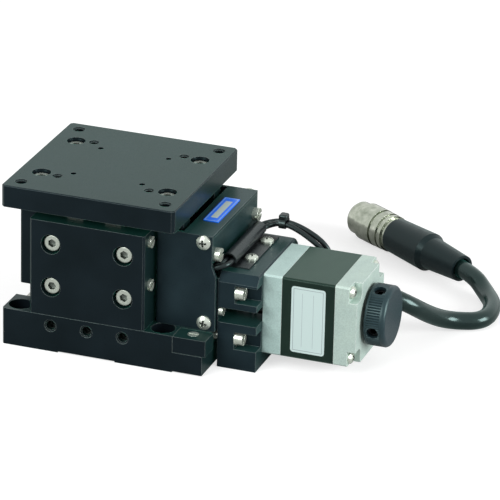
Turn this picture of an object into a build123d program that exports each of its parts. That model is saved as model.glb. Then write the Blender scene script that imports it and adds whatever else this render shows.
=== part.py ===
"""Motorised vertical wedge stage: a lifting table on crossed rollers, driven by a wedge and a lead screw.

Frame: millimetres, +Z up.  The origin lies on the mounting plane, at the centre of the four base bolts.
+X points along the lead screw towards the motor and +Y away from the guide wall that faces the user.
The table stands at its rest height, where every joint is at zero.
"""

from build123d import *
import os
from math import asin, atan, cos, degrees, radians, sin, tan

os.makedirs("parts", exist_ok=True)

# ----------------------------------------------------------------------------------------------
# Driving sizes
# ----------------------------------------------------------------------------------------------

# Table plate
table_side = 60.0
table_thickness = 7.6
table_corner_chamfer = 1.0
table_edge_chamfer = 0.3
table_m4_pitch = 50.0
table_m4_core = 3.3
table_m3_pitch = 32.0
table_m3_core = 2.5
table_pin_pitch = 24.0
table_pin_bore = 2.0
table_pin_depth = 4.0
table_screw_pitch_x = 44.0
table_screw_pitch_y = 30.0
thread_mouth = 0.45

# Base plate
base_length = 70.0
base_left = -29.7
base_width = 60.0
base_height = 12.8
base_floor = 4.5
base_bolt_pitch = 50.0
base_bolt_clearance = 4.5
base_bolt_counterbore = 8.2
base_bolt_counterbore_depth = 6.5
base_relief = 0.4
base_pad_inner = 10.0
base_pad_outer = 30.0
base_side_hole_mouth = 4.3
base_side_hole_core = 3.3
base_side_hole_depth = 9.0
base_side_hole_height = 9.15
base_side_hole_pitch = 12.6
base_corner_round = 1.0

# Guide walls that stand on the base
wall_length = 40.0
wall_thickness = 12.0
wall_height = 33.2
wall_edge_chamfer = 0.6
table_gap = 2.7

# Crossed-roller guides
rail_width = 5.5
rail_depth = 6.0
rail_gap = 0.5
rail_spacing = 12.55
wall_rail_length = 30.0
block_rail_length = 30.0
wall_rail_top_gap = 0.5
block_rail_top_gap = 1.2
rail_screw_pitch = 15.1
roller_diameter = 2.0
roller_clearance = 0.05
roller_pitch = 4.5
wall_roller_count = 5
cage_thickness = 0.26
cage_height = 4.2
cage_margin = 2.0
base_rail_length = 56.0
base_roller_inset = 1.5
wedge_rail_length = 31.0
base_roller_count = 5
incline_rail_width = 4.0
incline_rail_depth = 3.0
incline_rail_gap = 0.4
incline_roller_diameter = 1.5
incline_roller_inset = 4.4
incline_rail_end_gap = 2.5
incline_wedge_rail_length = 30.0
incline_roller_count = 5

# Lifting block under the table
block_length = 57.0
block_side_thickness = 6.0
block_wall_gap = 0.5
block_bottom = 17.0

# Wedge
wedge_length = 32.0
wedge_left = -10.0
wedge_slope = 0.5
wedge_low_height = 24.6
wedge_bottom = 11.0
wedge_block_gap = 0.5
wedge_screw_bore = 7.6

# Drive line
spindle_height = 18.6
screw_diameter = 6.0
screw_left = -22.0
journal_diameter = 5.0
running_clearance = 0.05
nut_diameter = 10.0
nut_length = 16.0
bearing_diameter = 10.0
bearing_width = 4.0
bearing_seat_shoulder = 1.0
bearing_spacer = 0.3
seat_clearance = 0.02
coupling_diameter = 14.0
coupling_length = 10.0
coupling_bore_in_bracket = 18.0

# Bearing housing and its sheet cover
housing_block_gap = 1.0
housing_depth = 10.6
housing_block_height = 18.2
housing_nose_half = 19.8
post_width = 4.7
post_depth = 4.0
cover_wall_gap = 0.8
cover_side_gap = 3.0
cover_height = 33.2
cover_wall = 1.0
cover_foot_reach = 1.3
cover_step_high = 22.4
cover_step_low = 19.1
cover_top_setback = 0.4
cover_lip = 3.0
cover_bend_radius = 0.8
end_plate_thickness = 1.5

# Motor bracket
bracket_gap = 0.5
bracket_length = 13.3
bracket_width = 40.0
bracket_height = 33.0
bracket_top_chamfer = 2.8
bracket_flange = 5.7
bracket_notch_depth = 5.0
bracket_notch_low = 7.1
bracket_notch_high = 23.4
bracket_notch_height = 6.0
bracket_slot_height = 5.2
bracket_slot_bottom = 16.0

# Motor
motor_side = 28.0
motor_flange_length = 6.4
motor_stator_length = 18.1
motor_cap_length = 7.5
motor_screw_pitch = 23.0
motor_pocket_side = 5.4
motor_pocket_round = 2.0
motor_pocket_depth = 2.8
motor_shaft_diameter = 5.0
motor_rotor_diameter = 14.0
motor_pilot_diameter = 16.0
motor_pilot_length = 1.2

# Hand knob on the rear shaft
knob_diameter = 20.5
knob_length = 7.0
knob_gap = 1.2
knob_face_round = 1.4
knurl_width = 4.4
knurl_offset = 0.7
knurl_count = 72
knurl_depth = 0.28
knob_set_screw_diameter = 4.0

# Screws: nominal thread, head diameter, head height
m3 = 3.0
m3_head = 5.5
m3_head_height = 3.0
m3_counterbore = 6.3
m2 = 2.0
m26 = 2.6

# Cable clamp on top of the bracket
clamp_roll_outer = 2.4
clamp_wall = 0.5
clamp_roll_inset = 1.3
clamp_front = -13.6
clamp_back = 15.4
clamp_flange_reach = 8.2
clamp_screw_inset = 6.1
clamp_screw_head = 4.4
clamp_screw_grip = 3.6
clamp_screw_front = -5.6
clamp_screw_back = 9.6

# Leads, main cable and connector
lead_diameter = 1.8
cable_diameter = 6.0
plug_diameter = 12.4
boot_diameter = 13.6

# ----------------------------------------------------------------------------------------------
# Levels and places that follow from them
# ----------------------------------------------------------------------------------------------

base_right = base_left + base_length
wall_top = base_height + wall_height
table_bottom = wall_top + table_gap
table_top = table_bottom + table_thickness
wall_inner = base_width / 2 - wall_thickness
base_channel_width = 2 * wall_inner
block_outer = wall_inner - block_wall_gap
block_inner = block_outer - block_side_thickness
wedge_width = 2 * (block_inner - wedge_block_gap)
pocket_floor = block_outer + rail_depth + rail_gap
roller_line = (block_outer + pocket_floor) / 2
wall_rail_bottom = wall_top - wall_rail_top_gap - wall_rail_length
block_rail_bottom = table_bottom - block_rail_top_gap - block_rail_length
base_roller_line = wedge_width / 2 - base_roller_inset
incline_roller_line = wedge_width / 2 - incline_roller_inset
incline_block_rail_length = block_length - 2 * incline_rail_end_gap
housing_left = block_length / 2 + housing_block_gap
cover_width = 2 * (block_outer + cover_side_gap + cover_wall)
cover_left = wall_length / 2 + cover_wall_gap
cover_upper_right = housing_left + housing_depth
cover_lower_right = cover_upper_right + cover_foot_reach
cover_top_left = housing_left + cover_top_setback
bracket_left = cover_lower_right + bracket_gap
bracket_notch_left = bracket_left + bracket_flange
clamp_roll_x = bracket_left + clamp_roll_inset
clamp_screw_x = bracket_left + clamp_screw_inset
clamp_flange_right = bracket_left + clamp_flange_reach
roller_x = rail_spacing - (rail_width + rail_gap) / 2
base_roller_level = (base_floor + wedge_bottom) / 2
slope_angle = degrees(atan(wedge_slope))
motor_left = bracket_left + bracket_length
stator_left = motor_left + motor_flange_length
cap_left = stator_left + motor_stator_length
motor_right = cap_left + motor_cap_length
knob_left = motor_right + knob_gap
knob_right = knob_left + knob_length
housing_top = base_height + housing_block_height
cover_top = base_height + cover_height
cover_inner = cover_width / 2 - cover_wall
end_plate_left = cover_upper_right - end_plate_thickness
bearings_left = housing_left + bearing_seat_shoulder
bearings_right = bearings_left + 2 * bearing_width + bearing_spacer
bracket_top = bracket_height
bracket_right = bracket_left + bracket_length
bracket_screw_y = bracket_width / 2 - 2.1
bracket_screw_low = bracket_notch_low + bracket_notch_height / 2 + 0.2
bracket_screw_high = bracket_notch_high + bracket_notch_height / 2
bracket_screw_grip = 4.0
slot_screw_y = bracket_width / 2 - 1.9
slot_screw_level = bracket_slot_bottom + bracket_slot_height - 1.9
slot_screw_grip = 3.4
slot_screw_thread = 2.0
slot_screw_head = 3.4
slot_screw_head_height = 1.4
tap = 2 * seat_clearance


# ----------------------------------------------------------------------------------------------
# Fastener shapes: each stands at the origin with its head above z = 0 and its shank below
# ----------------------------------------------------------------------------------------------


def socket_cap_screw(thread, head, head_height, length):
    """Hexagon socket cap screw."""
    with BuildPart() as screw:
        Cylinder(head / 2, head_height, align=(Align.CENTER, Align.CENTER, Align.MIN))
        Cylinder(thread / 2, length, align=(Align.CENTER, Align.CENTER, Align.MAX))
        with BuildSketch(Plane.XY.offset(head_height)):
            RegularPolygon(radius=thread * 0.48, side_count=6)
        extrude(amount=-head_height * 0.5, mode=Mode.SUBTRACT)
    return screw.part


def cross_pan_screw(thread, head, head_height, length):
    """Pan head screw with a domed top and a cross recess."""
    rim = head_height * 0.45
    rise = head_height - rim
    dome = (head**2 / 4 + rise**2) / (2 * rise)
    edge_turn = asin(head / 2 / dome)
    crown = [
        (dome * sin(edge_turn * part), head_height - dome * (1 - cos(edge_turn * part)))
        for part in (1.0, 0.8, 0.5, 0.0)
    ]
    shank = [(0, -length), (thread / 2, -length), (thread / 2, 0), (head / 2, 0)]
    with BuildPart() as screw:
        with BuildSketch(Plane.XZ):
            with BuildLine():
                Polyline(*shank, *crown, close=True)
            make_face()
        revolve(axis=Axis.Z)
        with BuildSketch(Plane.XY.offset(head_height)):
            Rectangle(head * 0.52, head * 0.13)
            Rectangle(head * 0.13, head * 0.52)
        extrude(amount=-head_height * 0.55, mode=Mode.SUBTRACT)
    return screw.part


def slotted_screw(thread, head, head_height, length):
    """Cheese head screw with a straight slot."""
    with BuildPart() as screw:
        Cylinder(head / 2, head_height, align=(Align.CENTER, Align.CENTER, Align.MIN))
        Cylinder(thread / 2, length, align=(Align.CENTER, Align.CENTER, Align.MAX))
        with BuildSketch(Plane.XY.offset(head_height)):
            Rectangle(head, head * 0.18)
        extrude(amount=-head_height * 0.4, mode=Mode.SUBTRACT)
    return screw.part


def slotted_set_screw(thread, length):
    """Headless screw with a straight slot, its outer end at z = 0."""
    with BuildPart() as screw:
        Cylinder(thread / 2, length, align=(Align.CENTER, Align.CENTER, Align.MAX))
        with BuildSketch(Plane.XY):
            Rectangle(thread, thread * 0.2)
        extrude(amount=-length * 0.2, mode=Mode.SUBTRACT)
    return screw.part


def socket_set_screw(thread, length):
    """Headless screw with a hexagon socket, its outer end at z = 0."""
    with BuildPart() as screw:
        Cylinder(thread / 2, length, align=(Align.CENTER, Align.CENTER, Align.MAX))
        with BuildSketch(Plane.XY):
            RegularPolygon(radius=thread * 0.3, side_count=6)
        extrude(amount=-length * 0.4, mode=Mode.SUBTRACT)
    return screw.part


def slotted_washer_screw(thread, head, head_height, washer, washer_thickness, length):
    """Cheese head screw with a captive split washer that lies on z = 0."""
    with BuildPart() as screw:
        with BuildSketch(Plane.XY):
            Circle(washer / 2)
            with Locations(((washer + thread) / 4, 0)):
                Rectangle((washer - thread) / 2, washer_thickness / 2, mode=Mode.SUBTRACT)
        extrude(amount=washer_thickness)
        with Locations((0, 0, washer_thickness)):
            add(slotted_screw(thread, head, head_height, length + washer_thickness))
    return screw.part


# ----------------------------------------------------------------------------------------------
# Crossed-roller guide shapes, running along local X, with the groove towards local +Y
# ----------------------------------------------------------------------------------------------


def groove_rail(length, width, depth, gap, roller, holes, bore, head_bore=0.0, head_depth=0.0):
    """Rail bar whose V groove faces +Y towards the roller line y = 0, seated by its +Z side."""
    reach = (roller + 2 * roller_clearance) / 2**0.5
    middle_y = -(gap + width) / 2
    middle_z = gap / 2
    with BuildPart() as rail:
        with BuildSketch(Plane.YZ):
            with Locations((middle_y, middle_z)):
                Rectangle(width, depth)
            with BuildLine():
                Polyline((reach, 0), (0, reach), (-reach, 0), (0, -reach), close=True)
            make_face(mode=Mode.SUBTRACT)
        extrude(amount=length / 2, both=True)
        for x in holes:
            with Locations(
                Plane(origin=(x, middle_y, middle_z - depth / 2), x_dir=(1, 0, 0), z_dir=(0, 0, -1))
            ):
                if head_bore:
                    CounterBoreHole(bore / 2, head_bore / 2, head_depth)
                else:
                    Hole(bore / 2)
    return rail.part


def roller_cage(count, roller, pitch, height):
    """Strip cage along X in the plane y = 0, with rollers whose axes cross at right angles."""
    strip_length = (count - 1) * pitch + roller + 2 * cage_margin
    window = roller + 0.3
    with BuildPart() as cage:
        Box(strip_length, cage_thickness, height)
        with GridLocations(pitch, 0, count, 1):
            Box(window, cage_thickness, roller * 2**0.5 + 0.3, mode=Mode.SUBTRACT)
        for index in range(count):
            tilt = 45 if index % 2 else -45
            with Locations(Location(((index - (count - 1) / 2) * pitch, 0, 0), (tilt, 0, 0))):
                Cylinder(roller / 2, roller - 0.1)
    return cage.part


# ----------------------------------------------------------------------------------------------
# Base plate
# ----------------------------------------------------------------------------------------------

corner_block_left = 30.0
corner_block_right = cover_lower_right
corner_block_depth = 7.6
corner_block_height = 5.6
seam = 0.12
base_middle = base_left + base_length / 2
channel_right = base_rail_length / 2 + 1.2
wall_foot_screw_x = 6.3
wall_foot_screw_y = (pocket_floor + base_width / 2) / 2
foot_screw = 2.5
foot_screw_head = 4.5
foot_screw_head_height = 2.5
foot_screw_clearance = 2.9
foot_screw_counterbore = 4.8
foot_screw_counterbore_depth = 4.0
foot_screw_grip = 8.0
foot_screw_bore_depth = 9.0
m3_clearance = 3.4

with BuildPart() as base_plate:
    with BuildSketch(Plane.XY):
        with Locations((base_middle, 0)):
            Rectangle(base_length, base_width)
    extrude(amount=base_height)
    left_corners = base_plate.edges().filter_by(Axis.Z).group_by(Axis.X)[0]
    fillet(left_corners, base_corner_round)
    with BuildSketch(Plane.XY.offset(base_floor)):
        with Locations(((base_left + channel_right) / 2, 0)):
            Rectangle(channel_right - base_left, base_channel_width)
    extrude(amount=base_height - base_floor, mode=Mode.SUBTRACT)
    with BuildSketch(Plane.XY):
        Rectangle(2 * base_pad_inner, base_width)
        with Locations(((base_pad_outer + base_right) / 2, 0)):
            Rectangle(base_right - base_pad_outer, base_width)
    extrude(amount=base_relief, mode=Mode.SUBTRACT)
    with Locations(Plane.XY.offset(base_height)):
        with GridLocations(base_bolt_pitch, base_bolt_pitch, 2, 2):
            CounterBoreHole(
                base_bolt_clearance / 2, base_bolt_counterbore / 2, base_bolt_counterbore_depth
            )
    with Locations(
        Plane(
            origin=(0, -base_width / 2, base_side_hole_height), x_dir=(1, 0, 0), z_dir=(0, -1, 0)
        )
    ):
        with GridLocations(base_side_hole_pitch, 0, 3, 1):
            CounterBoreHole(
                base_side_hole_core / 2, base_side_hole_mouth / 2, thread_mouth, base_side_hole_depth
            )
    with Locations(Plane(origin=(0, 0, 0), z_dir=(0, 0, -1))):
        with GridLocations(2 * wall_foot_screw_x, 2 * wall_foot_screw_y, 2, 2):
            CounterBoreHole(
                foot_screw_clearance / 2,
                foot_screw_counterbore / 2,
                base_relief + foot_screw_counterbore_depth,
            )
    for side in (-1, 1):
        with Locations(
            Plane(origin=(base_right, side * bracket_screw_y, bracket_screw_low), z_dir=(1, 0, 0))
        ):
            Hole((m3 + tap) / 2, depth=bracket_screw_grip + 0.6)
    corner_block_centre = (corner_block_left + base_right) / 2
    with BuildSketch(Plane.XY.offset(base_height - corner_block_height - seam)):
        with Locations((corner_block_centre, -(base_width - corner_block_depth) / 2)):
            Rectangle(base_right - corner_block_left, corner_block_depth)
    extrude(amount=corner_block_height + seam, mode=Mode.SUBTRACT)
base_plate.part.label = "base_plate"
export_step(base_plate.part, "parts/base_plate.step")

block_screw_x = (corner_block_left + corner_block_right) / 2
block_screw_inset = 4.3
block_screw_y = -base_width / 2 + block_screw_inset
block_screw_length = corner_block_height - 0.4
block_screw_diameter = 2.5
block_screw_head = 3.6
block_screw_head_height = 1.1

with BuildPart() as corner_block:
    with BuildSketch(Plane.XY.offset(base_height - corner_block_height)):
        with Locations(
            (
                (corner_block_left + seam + corner_block_right) / 2,
                -(base_width - corner_block_depth + seam) / 2,
            )
        ):
            Rectangle(
                corner_block_right - corner_block_left - seam, corner_block_depth - seam
            )
    extrude(amount=corner_block_height)
    with Locations((block_screw_x, block_screw_y, base_height)):
        CounterBoreHole(
            block_screw_diameter / 2, block_screw_head / 2 + 0.1, block_screw_head_height
        )
corner_block.part.label = "corner_block"
export_step(corner_block.part, "parts/corner_block.step")

with BuildPart() as corner_block_screw:
    with Locations((block_screw_x, block_screw_y, base_height - block_screw_head_height)):
        add(
            slotted_screw(
                block_screw_diameter,
                block_screw_head,
                block_screw_head_height,
                block_screw_length - block_screw_head_height,
            )
        )
corner_block_screw.part.label = "corner_block_screw"
export_step(corner_block_screw.part, "parts/corner_block_screw.step")

# ----------------------------------------------------------------------------------------------
# Guide walls, drawn for the front and turned half round for the rear
# ----------------------------------------------------------------------------------------------

guide_pocket_left = rail_spacing + rail_width / 2
guide_pocket_right = guide_pocket_left + 0.8
guide_pocket_bottom = wall_rail_bottom - 0.3
guide_screw_level = wall_rail_bottom + wall_rail_length / 2
guide_head_recess = 1.1
guide_counterbore = 6.8
guide_counterbore_depth = m3_head_height + guide_head_recess
guide_screw_length = 6.8
preload_y = roller_line + 4.25
preload_diameter = 4.0
preload_proud = 0.9
preload_slot_turn = 70.0
preload_offset = 4.4
preload_levels = [
    guide_screw_level + preload_offset - rail_screw_pitch / 2,
    guide_screw_level + preload_offset + rail_screw_pitch / 2,
]
preload_bore_depth = wall_length / 2 - rail_spacing - rail_width / 2 + 0.1


def make_guide_wall(side):
    """Guide wall at y = side * 30, with the pocket for its two rails on the inner face."""
    with BuildPart() as wall:
        with BuildSketch(Plane.XY.offset(base_height)):
            with Locations((0, side * (base_width - wall_thickness) / 2)):
                Rectangle(wall_length, wall_thickness)
        extrude(amount=wall_height)
        outer_edges = wall.edges().filter_by(Axis.Z).group_by(Axis.Y)[0 if side < 0 else -1]
        chamfer(outer_edges, wall_edge_chamfer)
        pocket_width = guide_pocket_left + guide_pocket_right
        pocket_depth = pocket_floor - wall_inner
        with BuildSketch(Plane.XY.offset(guide_pocket_bottom)):
            with Locations(
                ((guide_pocket_right - guide_pocket_left) / 2, side * (wall_inner + pocket_depth / 2))
            ):
                Rectangle(pocket_width, pocket_depth)
        extrude(amount=wall_top - guide_pocket_bottom, mode=Mode.SUBTRACT)
        with Locations(
            Plane(
                origin=(0, side * base_width / 2, guide_screw_level),
                x_dir=(1, 0, 0),
                z_dir=(0, side, 0),
            )
        ):
            with GridLocations(2 * rail_spacing, rail_screw_pitch, 2, 2):
                CounterBoreHole(m3_clearance / 2, guide_counterbore / 2, guide_counterbore_depth)
        for level in preload_levels:
            with Locations(
                Plane(origin=(wall_length / 2, side * preload_y, level), z_dir=(1, 0, 0))
            ):
                Hole(preload_diameter / 2, depth=preload_bore_depth)
        with Locations(Plane(origin=(0, side * wall_foot_screw_y, base_height), z_dir=(0, 0, -1))):
            with GridLocations(2 * wall_foot_screw_x, 0, 2, 1):
                Hole(foot_screw / 2, depth=foot_screw_bore_depth)
    return wall.part


with BuildPart() as front_guide_wall:
    add(make_guide_wall(-1))
front_guide_wall.part.label = "front_guide_wall"
export_step(front_guide_wall.part, "parts/front_guide_wall.step")

with BuildPart() as rear_guide_wall:
    add(make_guide_wall(1))
rear_guide_wall.part.label = "rear_guide_wall"
export_step(rear_guide_wall.part, "parts/rear_guide_wall.step")

# ----------------------------------------------------------------------------------------------
# Where each rail runs: local X along the rail, local +Y its groove, local +Z its seat
# ----------------------------------------------------------------------------------------------


def upright_rail(x, side, middle, groove, seat):
    """Place of a vertical rail: groove towards groove * X, seat towards seat * side * Y."""
    return Plane(
        origin=(x, side * roller_line, middle),
        x_dir=(0, 0, groove * seat * side),
        z_dir=(0, seat * side, 0),
    ).location


def level_rail(middle, side, groove, seat):
    """Place of a rail along X: groove towards groove * side * Y, seat up (1) or down (-1)."""
    return Plane(
        origin=(middle, side * base_roller_line, base_roller_level),
        x_dir=(groove * seat * side, 0, 0),
        z_dir=(0, 0, seat),
    ).location


wedge_right = wedge_left + wedge_length
incline_along = Vector(cos(radians(slope_angle)), 0, sin(radians(slope_angle)))
incline_normal = Vector(-sin(radians(slope_angle)), 0, cos(radians(slope_angle)))
incline_start = Vector(wedge_left, 0, wedge_low_height)
incline_stack = incline_rail_depth + incline_rail_gap
incline_roller_level = incline_stack / 2


def incline_rail(distance, side, groove, seat):
    """Place of a rail on the slope: distance along it, groove towards groove * side * Y."""
    origin = (
        incline_start
        + incline_along * distance
        + incline_normal * incline_roller_level
        + Vector(0, side * incline_roller_line, 0)
    )
    return Plane(
        origin=origin, x_dir=incline_along * (groove * seat * side), z_dir=incline_normal * seat
    ).location


def rail_head_places(places, holes, gap, width, depth, head_depth):
    """Locations of the screw head seats inside the counterbores of the rails."""
    seat = Location(Plane(
        origin=(0, -(gap + width) / 2, gap / 2 - depth / 2 + head_depth),
        x_dir=(1, 0, 0),
        z_dir=(0, 0, -1),
    ))
    return [place * seat * Location((x, 0, 0)) for place in places for x in holes]


rail_screw = 2.5
rail_screw_head = 4.0
rail_screw_head_height = 1.7
rail_screw_reach = 2.8
rail_head_depth = 1.9
rail_head_bore = 4.3
wall_rail_middle = wall_rail_bottom + wall_rail_length / 2
block_rail_middle = block_rail_bottom + block_rail_length / 2
block_rail_holes = (-10.0, 10.0)
base_rail_holes = (-22.0, 0.0, 22.0)
wedge_rail_holes = (-10.5, 10.5)

with BuildPart() as wall_rails:
    wall_rail = groove_rail(
        wall_rail_length,
        rail_width,
        rail_depth,
        rail_gap,
        roller_diameter,
        (-rail_screw_pitch / 2, rail_screw_pitch / 2),
        m3 + tap,
    )
    with Locations(
        [upright_rail(-towards * roller_x, side, wall_rail_middle, towards, 1)
         for side in (-1, 1) for towards in (-1, 1)]
    ):
        add(wall_rail)
wall_rails.part.label = "wall_rails"
export_step(wall_rails.part, "parts/wall_rails.step")

with BuildPart() as base_rails:
    base_rail_places = [level_rail(0, side, -1, -1) for side in (-1, 1)]
    base_rail = groove_rail(
        base_rail_length,
        rail_width,
        rail_depth,
        rail_gap,
        roller_diameter,
        base_rail_holes,
        rail_screw + tap,
        rail_head_bore,
        rail_head_depth,
    )
    with Locations(base_rail_places):
        add(base_rail)
base_rails.part.label = "base_rails"
export_step(base_rails.part, "parts/base_rails.step")

rail_cap_screw = socket_cap_screw(
    rail_screw, rail_screw_head, rail_screw_head_height, rail_depth - rail_head_depth
)

with BuildPart() as base_rail_screws:
    with Locations(
        rail_head_places(
            base_rail_places, base_rail_holes, rail_gap, rail_width, rail_depth, rail_head_depth
        )
    ):
        add(rail_cap_screw)
base_rail_screws.part.label = "base_rail_screws"
export_step(base_rail_screws.part, "parts/base_rail_screws.step")

with BuildPart() as wall_guide_screws:
    guide_screw = socket_cap_screw(m3, m3_head, m3_head_height, guide_screw_length)
    with Locations(
        [
            Plane(
                origin=(x, side * (base_width / 2 - guide_counterbore_depth), level),
                x_dir=(1, 0, 0),
                z_dir=(0, side, 0),
            ).location
            for side in (-1, 1)
            for x in (-rail_spacing, rail_spacing)
            for level in (
                guide_screw_level - rail_screw_pitch / 2,
                guide_screw_level + rail_screw_pitch / 2,
            )
        ]
    ):
        add(guide_screw)
wall_guide_screws.part.label = "wall_guide_screws"
export_step(wall_guide_screws.part, "parts/wall_guide_screws.step")

foot_screw_seat = base_relief + foot_screw_counterbore_depth
with BuildPart() as wall_foot_screws:
    foot_cap_screw = socket_cap_screw(
        foot_screw,
        foot_screw_head,
        foot_screw_head_height,
        base_height - foot_screw_seat + foot_screw_grip,
    )
    with Locations(
        [
            Plane(origin=(x, y, foot_screw_seat), x_dir=(1, 0, 0), z_dir=(0, 0, -1)).location
            for x in (-wall_foot_screw_x, wall_foot_screw_x)
            for y in (-wall_foot_screw_y, wall_foot_screw_y)
        ]
    ):
        add(foot_cap_screw)
wall_foot_screws.part.label = "wall_foot_screws"
export_step(wall_foot_screws.part, "parts/wall_foot_screws.step")

preload_reach = wall_length / 2 + preload_proud - (rail_spacing + rail_width / 2)
with BuildPart() as preload_screws:
    preload_screw = slotted_set_screw(preload_diameter - tap, preload_reach)
    with Locations(
        [
            Plane(
                origin=(wall_length / 2 + preload_proud, side * preload_y, level),
                x_dir=(0, sin(radians(preload_slot_turn)), cos(radians(preload_slot_turn))),
                z_dir=(1, 0, 0),
            ).location
            for side in (-1, 1)
            for level in preload_levels
        ]
    ):
        add(preload_screw)
preload_screws.part.label = "preload_screws"
export_step(preload_screws.part, "parts/preload_screws.step")

# ----------------------------------------------------------------------------------------------
# Roller cages
# ----------------------------------------------------------------------------------------------

wall_cage_level = (wall_rail_middle + block_rail_middle) / 2
with BuildPart() as wall_roller_cages:
    upright_cage = roller_cage(wall_roller_count, roller_diameter, roller_pitch, cage_height)
    with Locations(
        [
            upright_rail(x, side, wall_cage_level, 1, 1)
            for side in (-1, 1)
            for x in (-roller_x, roller_x)
        ]
    ):
        add(upright_cage)
wall_roller_cages.part.label = "wall_roller_cages"
export_step(wall_roller_cages.part, "parts/wall_roller_cages.step")

wedge_rail_middle = (wedge_left + wedge_right) / 2
base_cage_middle = wedge_rail_middle - 3.0
with BuildPart() as base_roller_cages:
    level_cage = roller_cage(base_roller_count, roller_diameter, roller_pitch, cage_height)
    with Locations([level_rail(base_cage_middle, side, 1, 1) for side in (-1, 1)]):
        add(level_cage)
base_roller_cages.part.label = "base_roller_cages"
export_step(base_roller_cages.part, "parts/base_roller_cages.step")

incline_cage_distance = 14.2
with BuildPart() as incline_roller_cages:
    sloping_cage = roller_cage(
        incline_roller_count, incline_roller_diameter, roller_pitch, incline_rail_depth - 0.4
    )
    with Locations([incline_rail(incline_cage_distance, side, 1, 1) for side in (-1, 1)]):
        add(sloping_cage)
incline_roller_cages.part.label = "incline_roller_cages"
export_step(incline_roller_cages.part, "parts/incline_roller_cages.step")

# ----------------------------------------------------------------------------------------------
# Wedge with its rails and nut
# ----------------------------------------------------------------------------------------------

wedge_rail_spacing = base_roller_line - (rail_gap + rail_width) / 2

with BuildPart() as wedge:
    with BuildSketch(Plane.XZ):
        with BuildLine():
            Polyline(
                (wedge_left, wedge_bottom),
                (wedge_right, wedge_bottom),
                (wedge_right, wedge_low_height + wedge_length * wedge_slope),
                (wedge_left, wedge_low_height),
                close=True,
            )
        make_face()
    extrude(amount=wedge_width / 2, both=True)
    with BuildSketch(Plane.YZ.offset(wedge_left)):
        with Locations((0, spindle_height)):
            Circle(wedge_screw_bore / 2)
    extrude(amount=wedge_length, mode=Mode.SUBTRACT)
    with BuildSketch(Plane.YZ.offset(wedge_right - nut_length)):
        with Locations((0, spindle_height)):
            Circle(nut_diameter / 2 + seat_clearance)
    extrude(amount=nut_length, mode=Mode.SUBTRACT)
    with Locations(
        Plane(origin=(wedge_rail_middle, 0, wedge_bottom), x_dir=(1, 0, 0), z_dir=(0, 0, -1))
    ):
        with Locations(
            [(x, y) for x in wedge_rail_holes for y in (-wedge_rail_spacing, wedge_rail_spacing)]
        ):
            Hole(rail_screw / 2 + seat_clearance, depth=rail_screw_reach + 0.4)
wedge.part.label = "wedge"
export_step(wedge.part, "parts/wedge.step")

wedge_rail_places = [level_rail(wedge_rail_middle, side, 1, 1) for side in (-1, 1)]
with BuildPart() as wedge_base_rails:
    wedge_rail = groove_rail(
        wedge_rail_length,
        rail_width,
        rail_depth,
        rail_gap,
        roller_diameter,
        wedge_rail_holes,
        rail_screw + tap,
        rail_head_bore,
        rail_head_depth,
    )
    with Locations(wedge_rail_places):
        add(wedge_rail)
wedge_base_rails.part.label = "wedge_base_rails"
export_step(wedge_base_rails.part, "parts/wedge_base_rails.step")

rail_mounting_screw = socket_cap_screw(
    rail_screw,
    rail_screw_head,
    rail_screw_head_height,
    rail_depth - rail_head_depth + rail_screw_reach,
)

with BuildPart() as wedge_rail_screws:
    with Locations(
        rail_head_places(
            wedge_rail_places, wedge_rail_holes, rail_gap, rail_width, rail_depth, rail_head_depth
        )
    ):
        add(rail_mounting_screw)
wedge_rail_screws.part.label = "wedge_rail_screws"
export_step(wedge_rail_screws.part, "parts/wedge_rail_screws.step")

with BuildPart() as wedge_incline_rails:
    low_incline_rail = groove_rail(
        incline_wedge_rail_length,
        incline_rail_width,
        incline_rail_depth,
        incline_rail_gap,
        incline_roller_diameter,
        (),
        m2,
    )
    low_rail_distance = wedge_length / cos(radians(slope_angle)) / 2
    with Locations([incline_rail(low_rail_distance, side, 1, -1) for side in (-1, 1)]):
        add(low_incline_rail)
wedge_incline_rails.part.label = "wedge_incline_rails"
export_step(wedge_incline_rails.part, "parts/wedge_incline_rails.step")

with BuildPart() as screw_nut:
    with BuildSketch(Plane.YZ.offset(wedge_right - nut_length)):
        with Locations((0, spindle_height)):
            Circle(nut_diameter / 2)
            Circle(screw_diameter / 2 + running_clearance, mode=Mode.SUBTRACT)
    extrude(amount=nut_length)
screw_nut.part.label = "screw_nut"
export_step(screw_nut.part, "parts/screw_nut.step")

# ----------------------------------------------------------------------------------------------
# Lifting block with its rails, table plate and sensor dog
# ----------------------------------------------------------------------------------------------

roof_rise = incline_stack / cos(radians(slope_angle))
block_rail_x = roller_x - (rail_gap + rail_width) / 2
table_screw_seat = 4.2
table_screw_length = 7.2
table_screw_bore = table_screw_length - table_thickness + table_screw_seat + 1.0


def roof_height(x):
    """Height of the lifting block's sloping roof above a place on the X axis."""
    return wedge_low_height + (x - wedge_left) * wedge_slope + roof_rise


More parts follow.
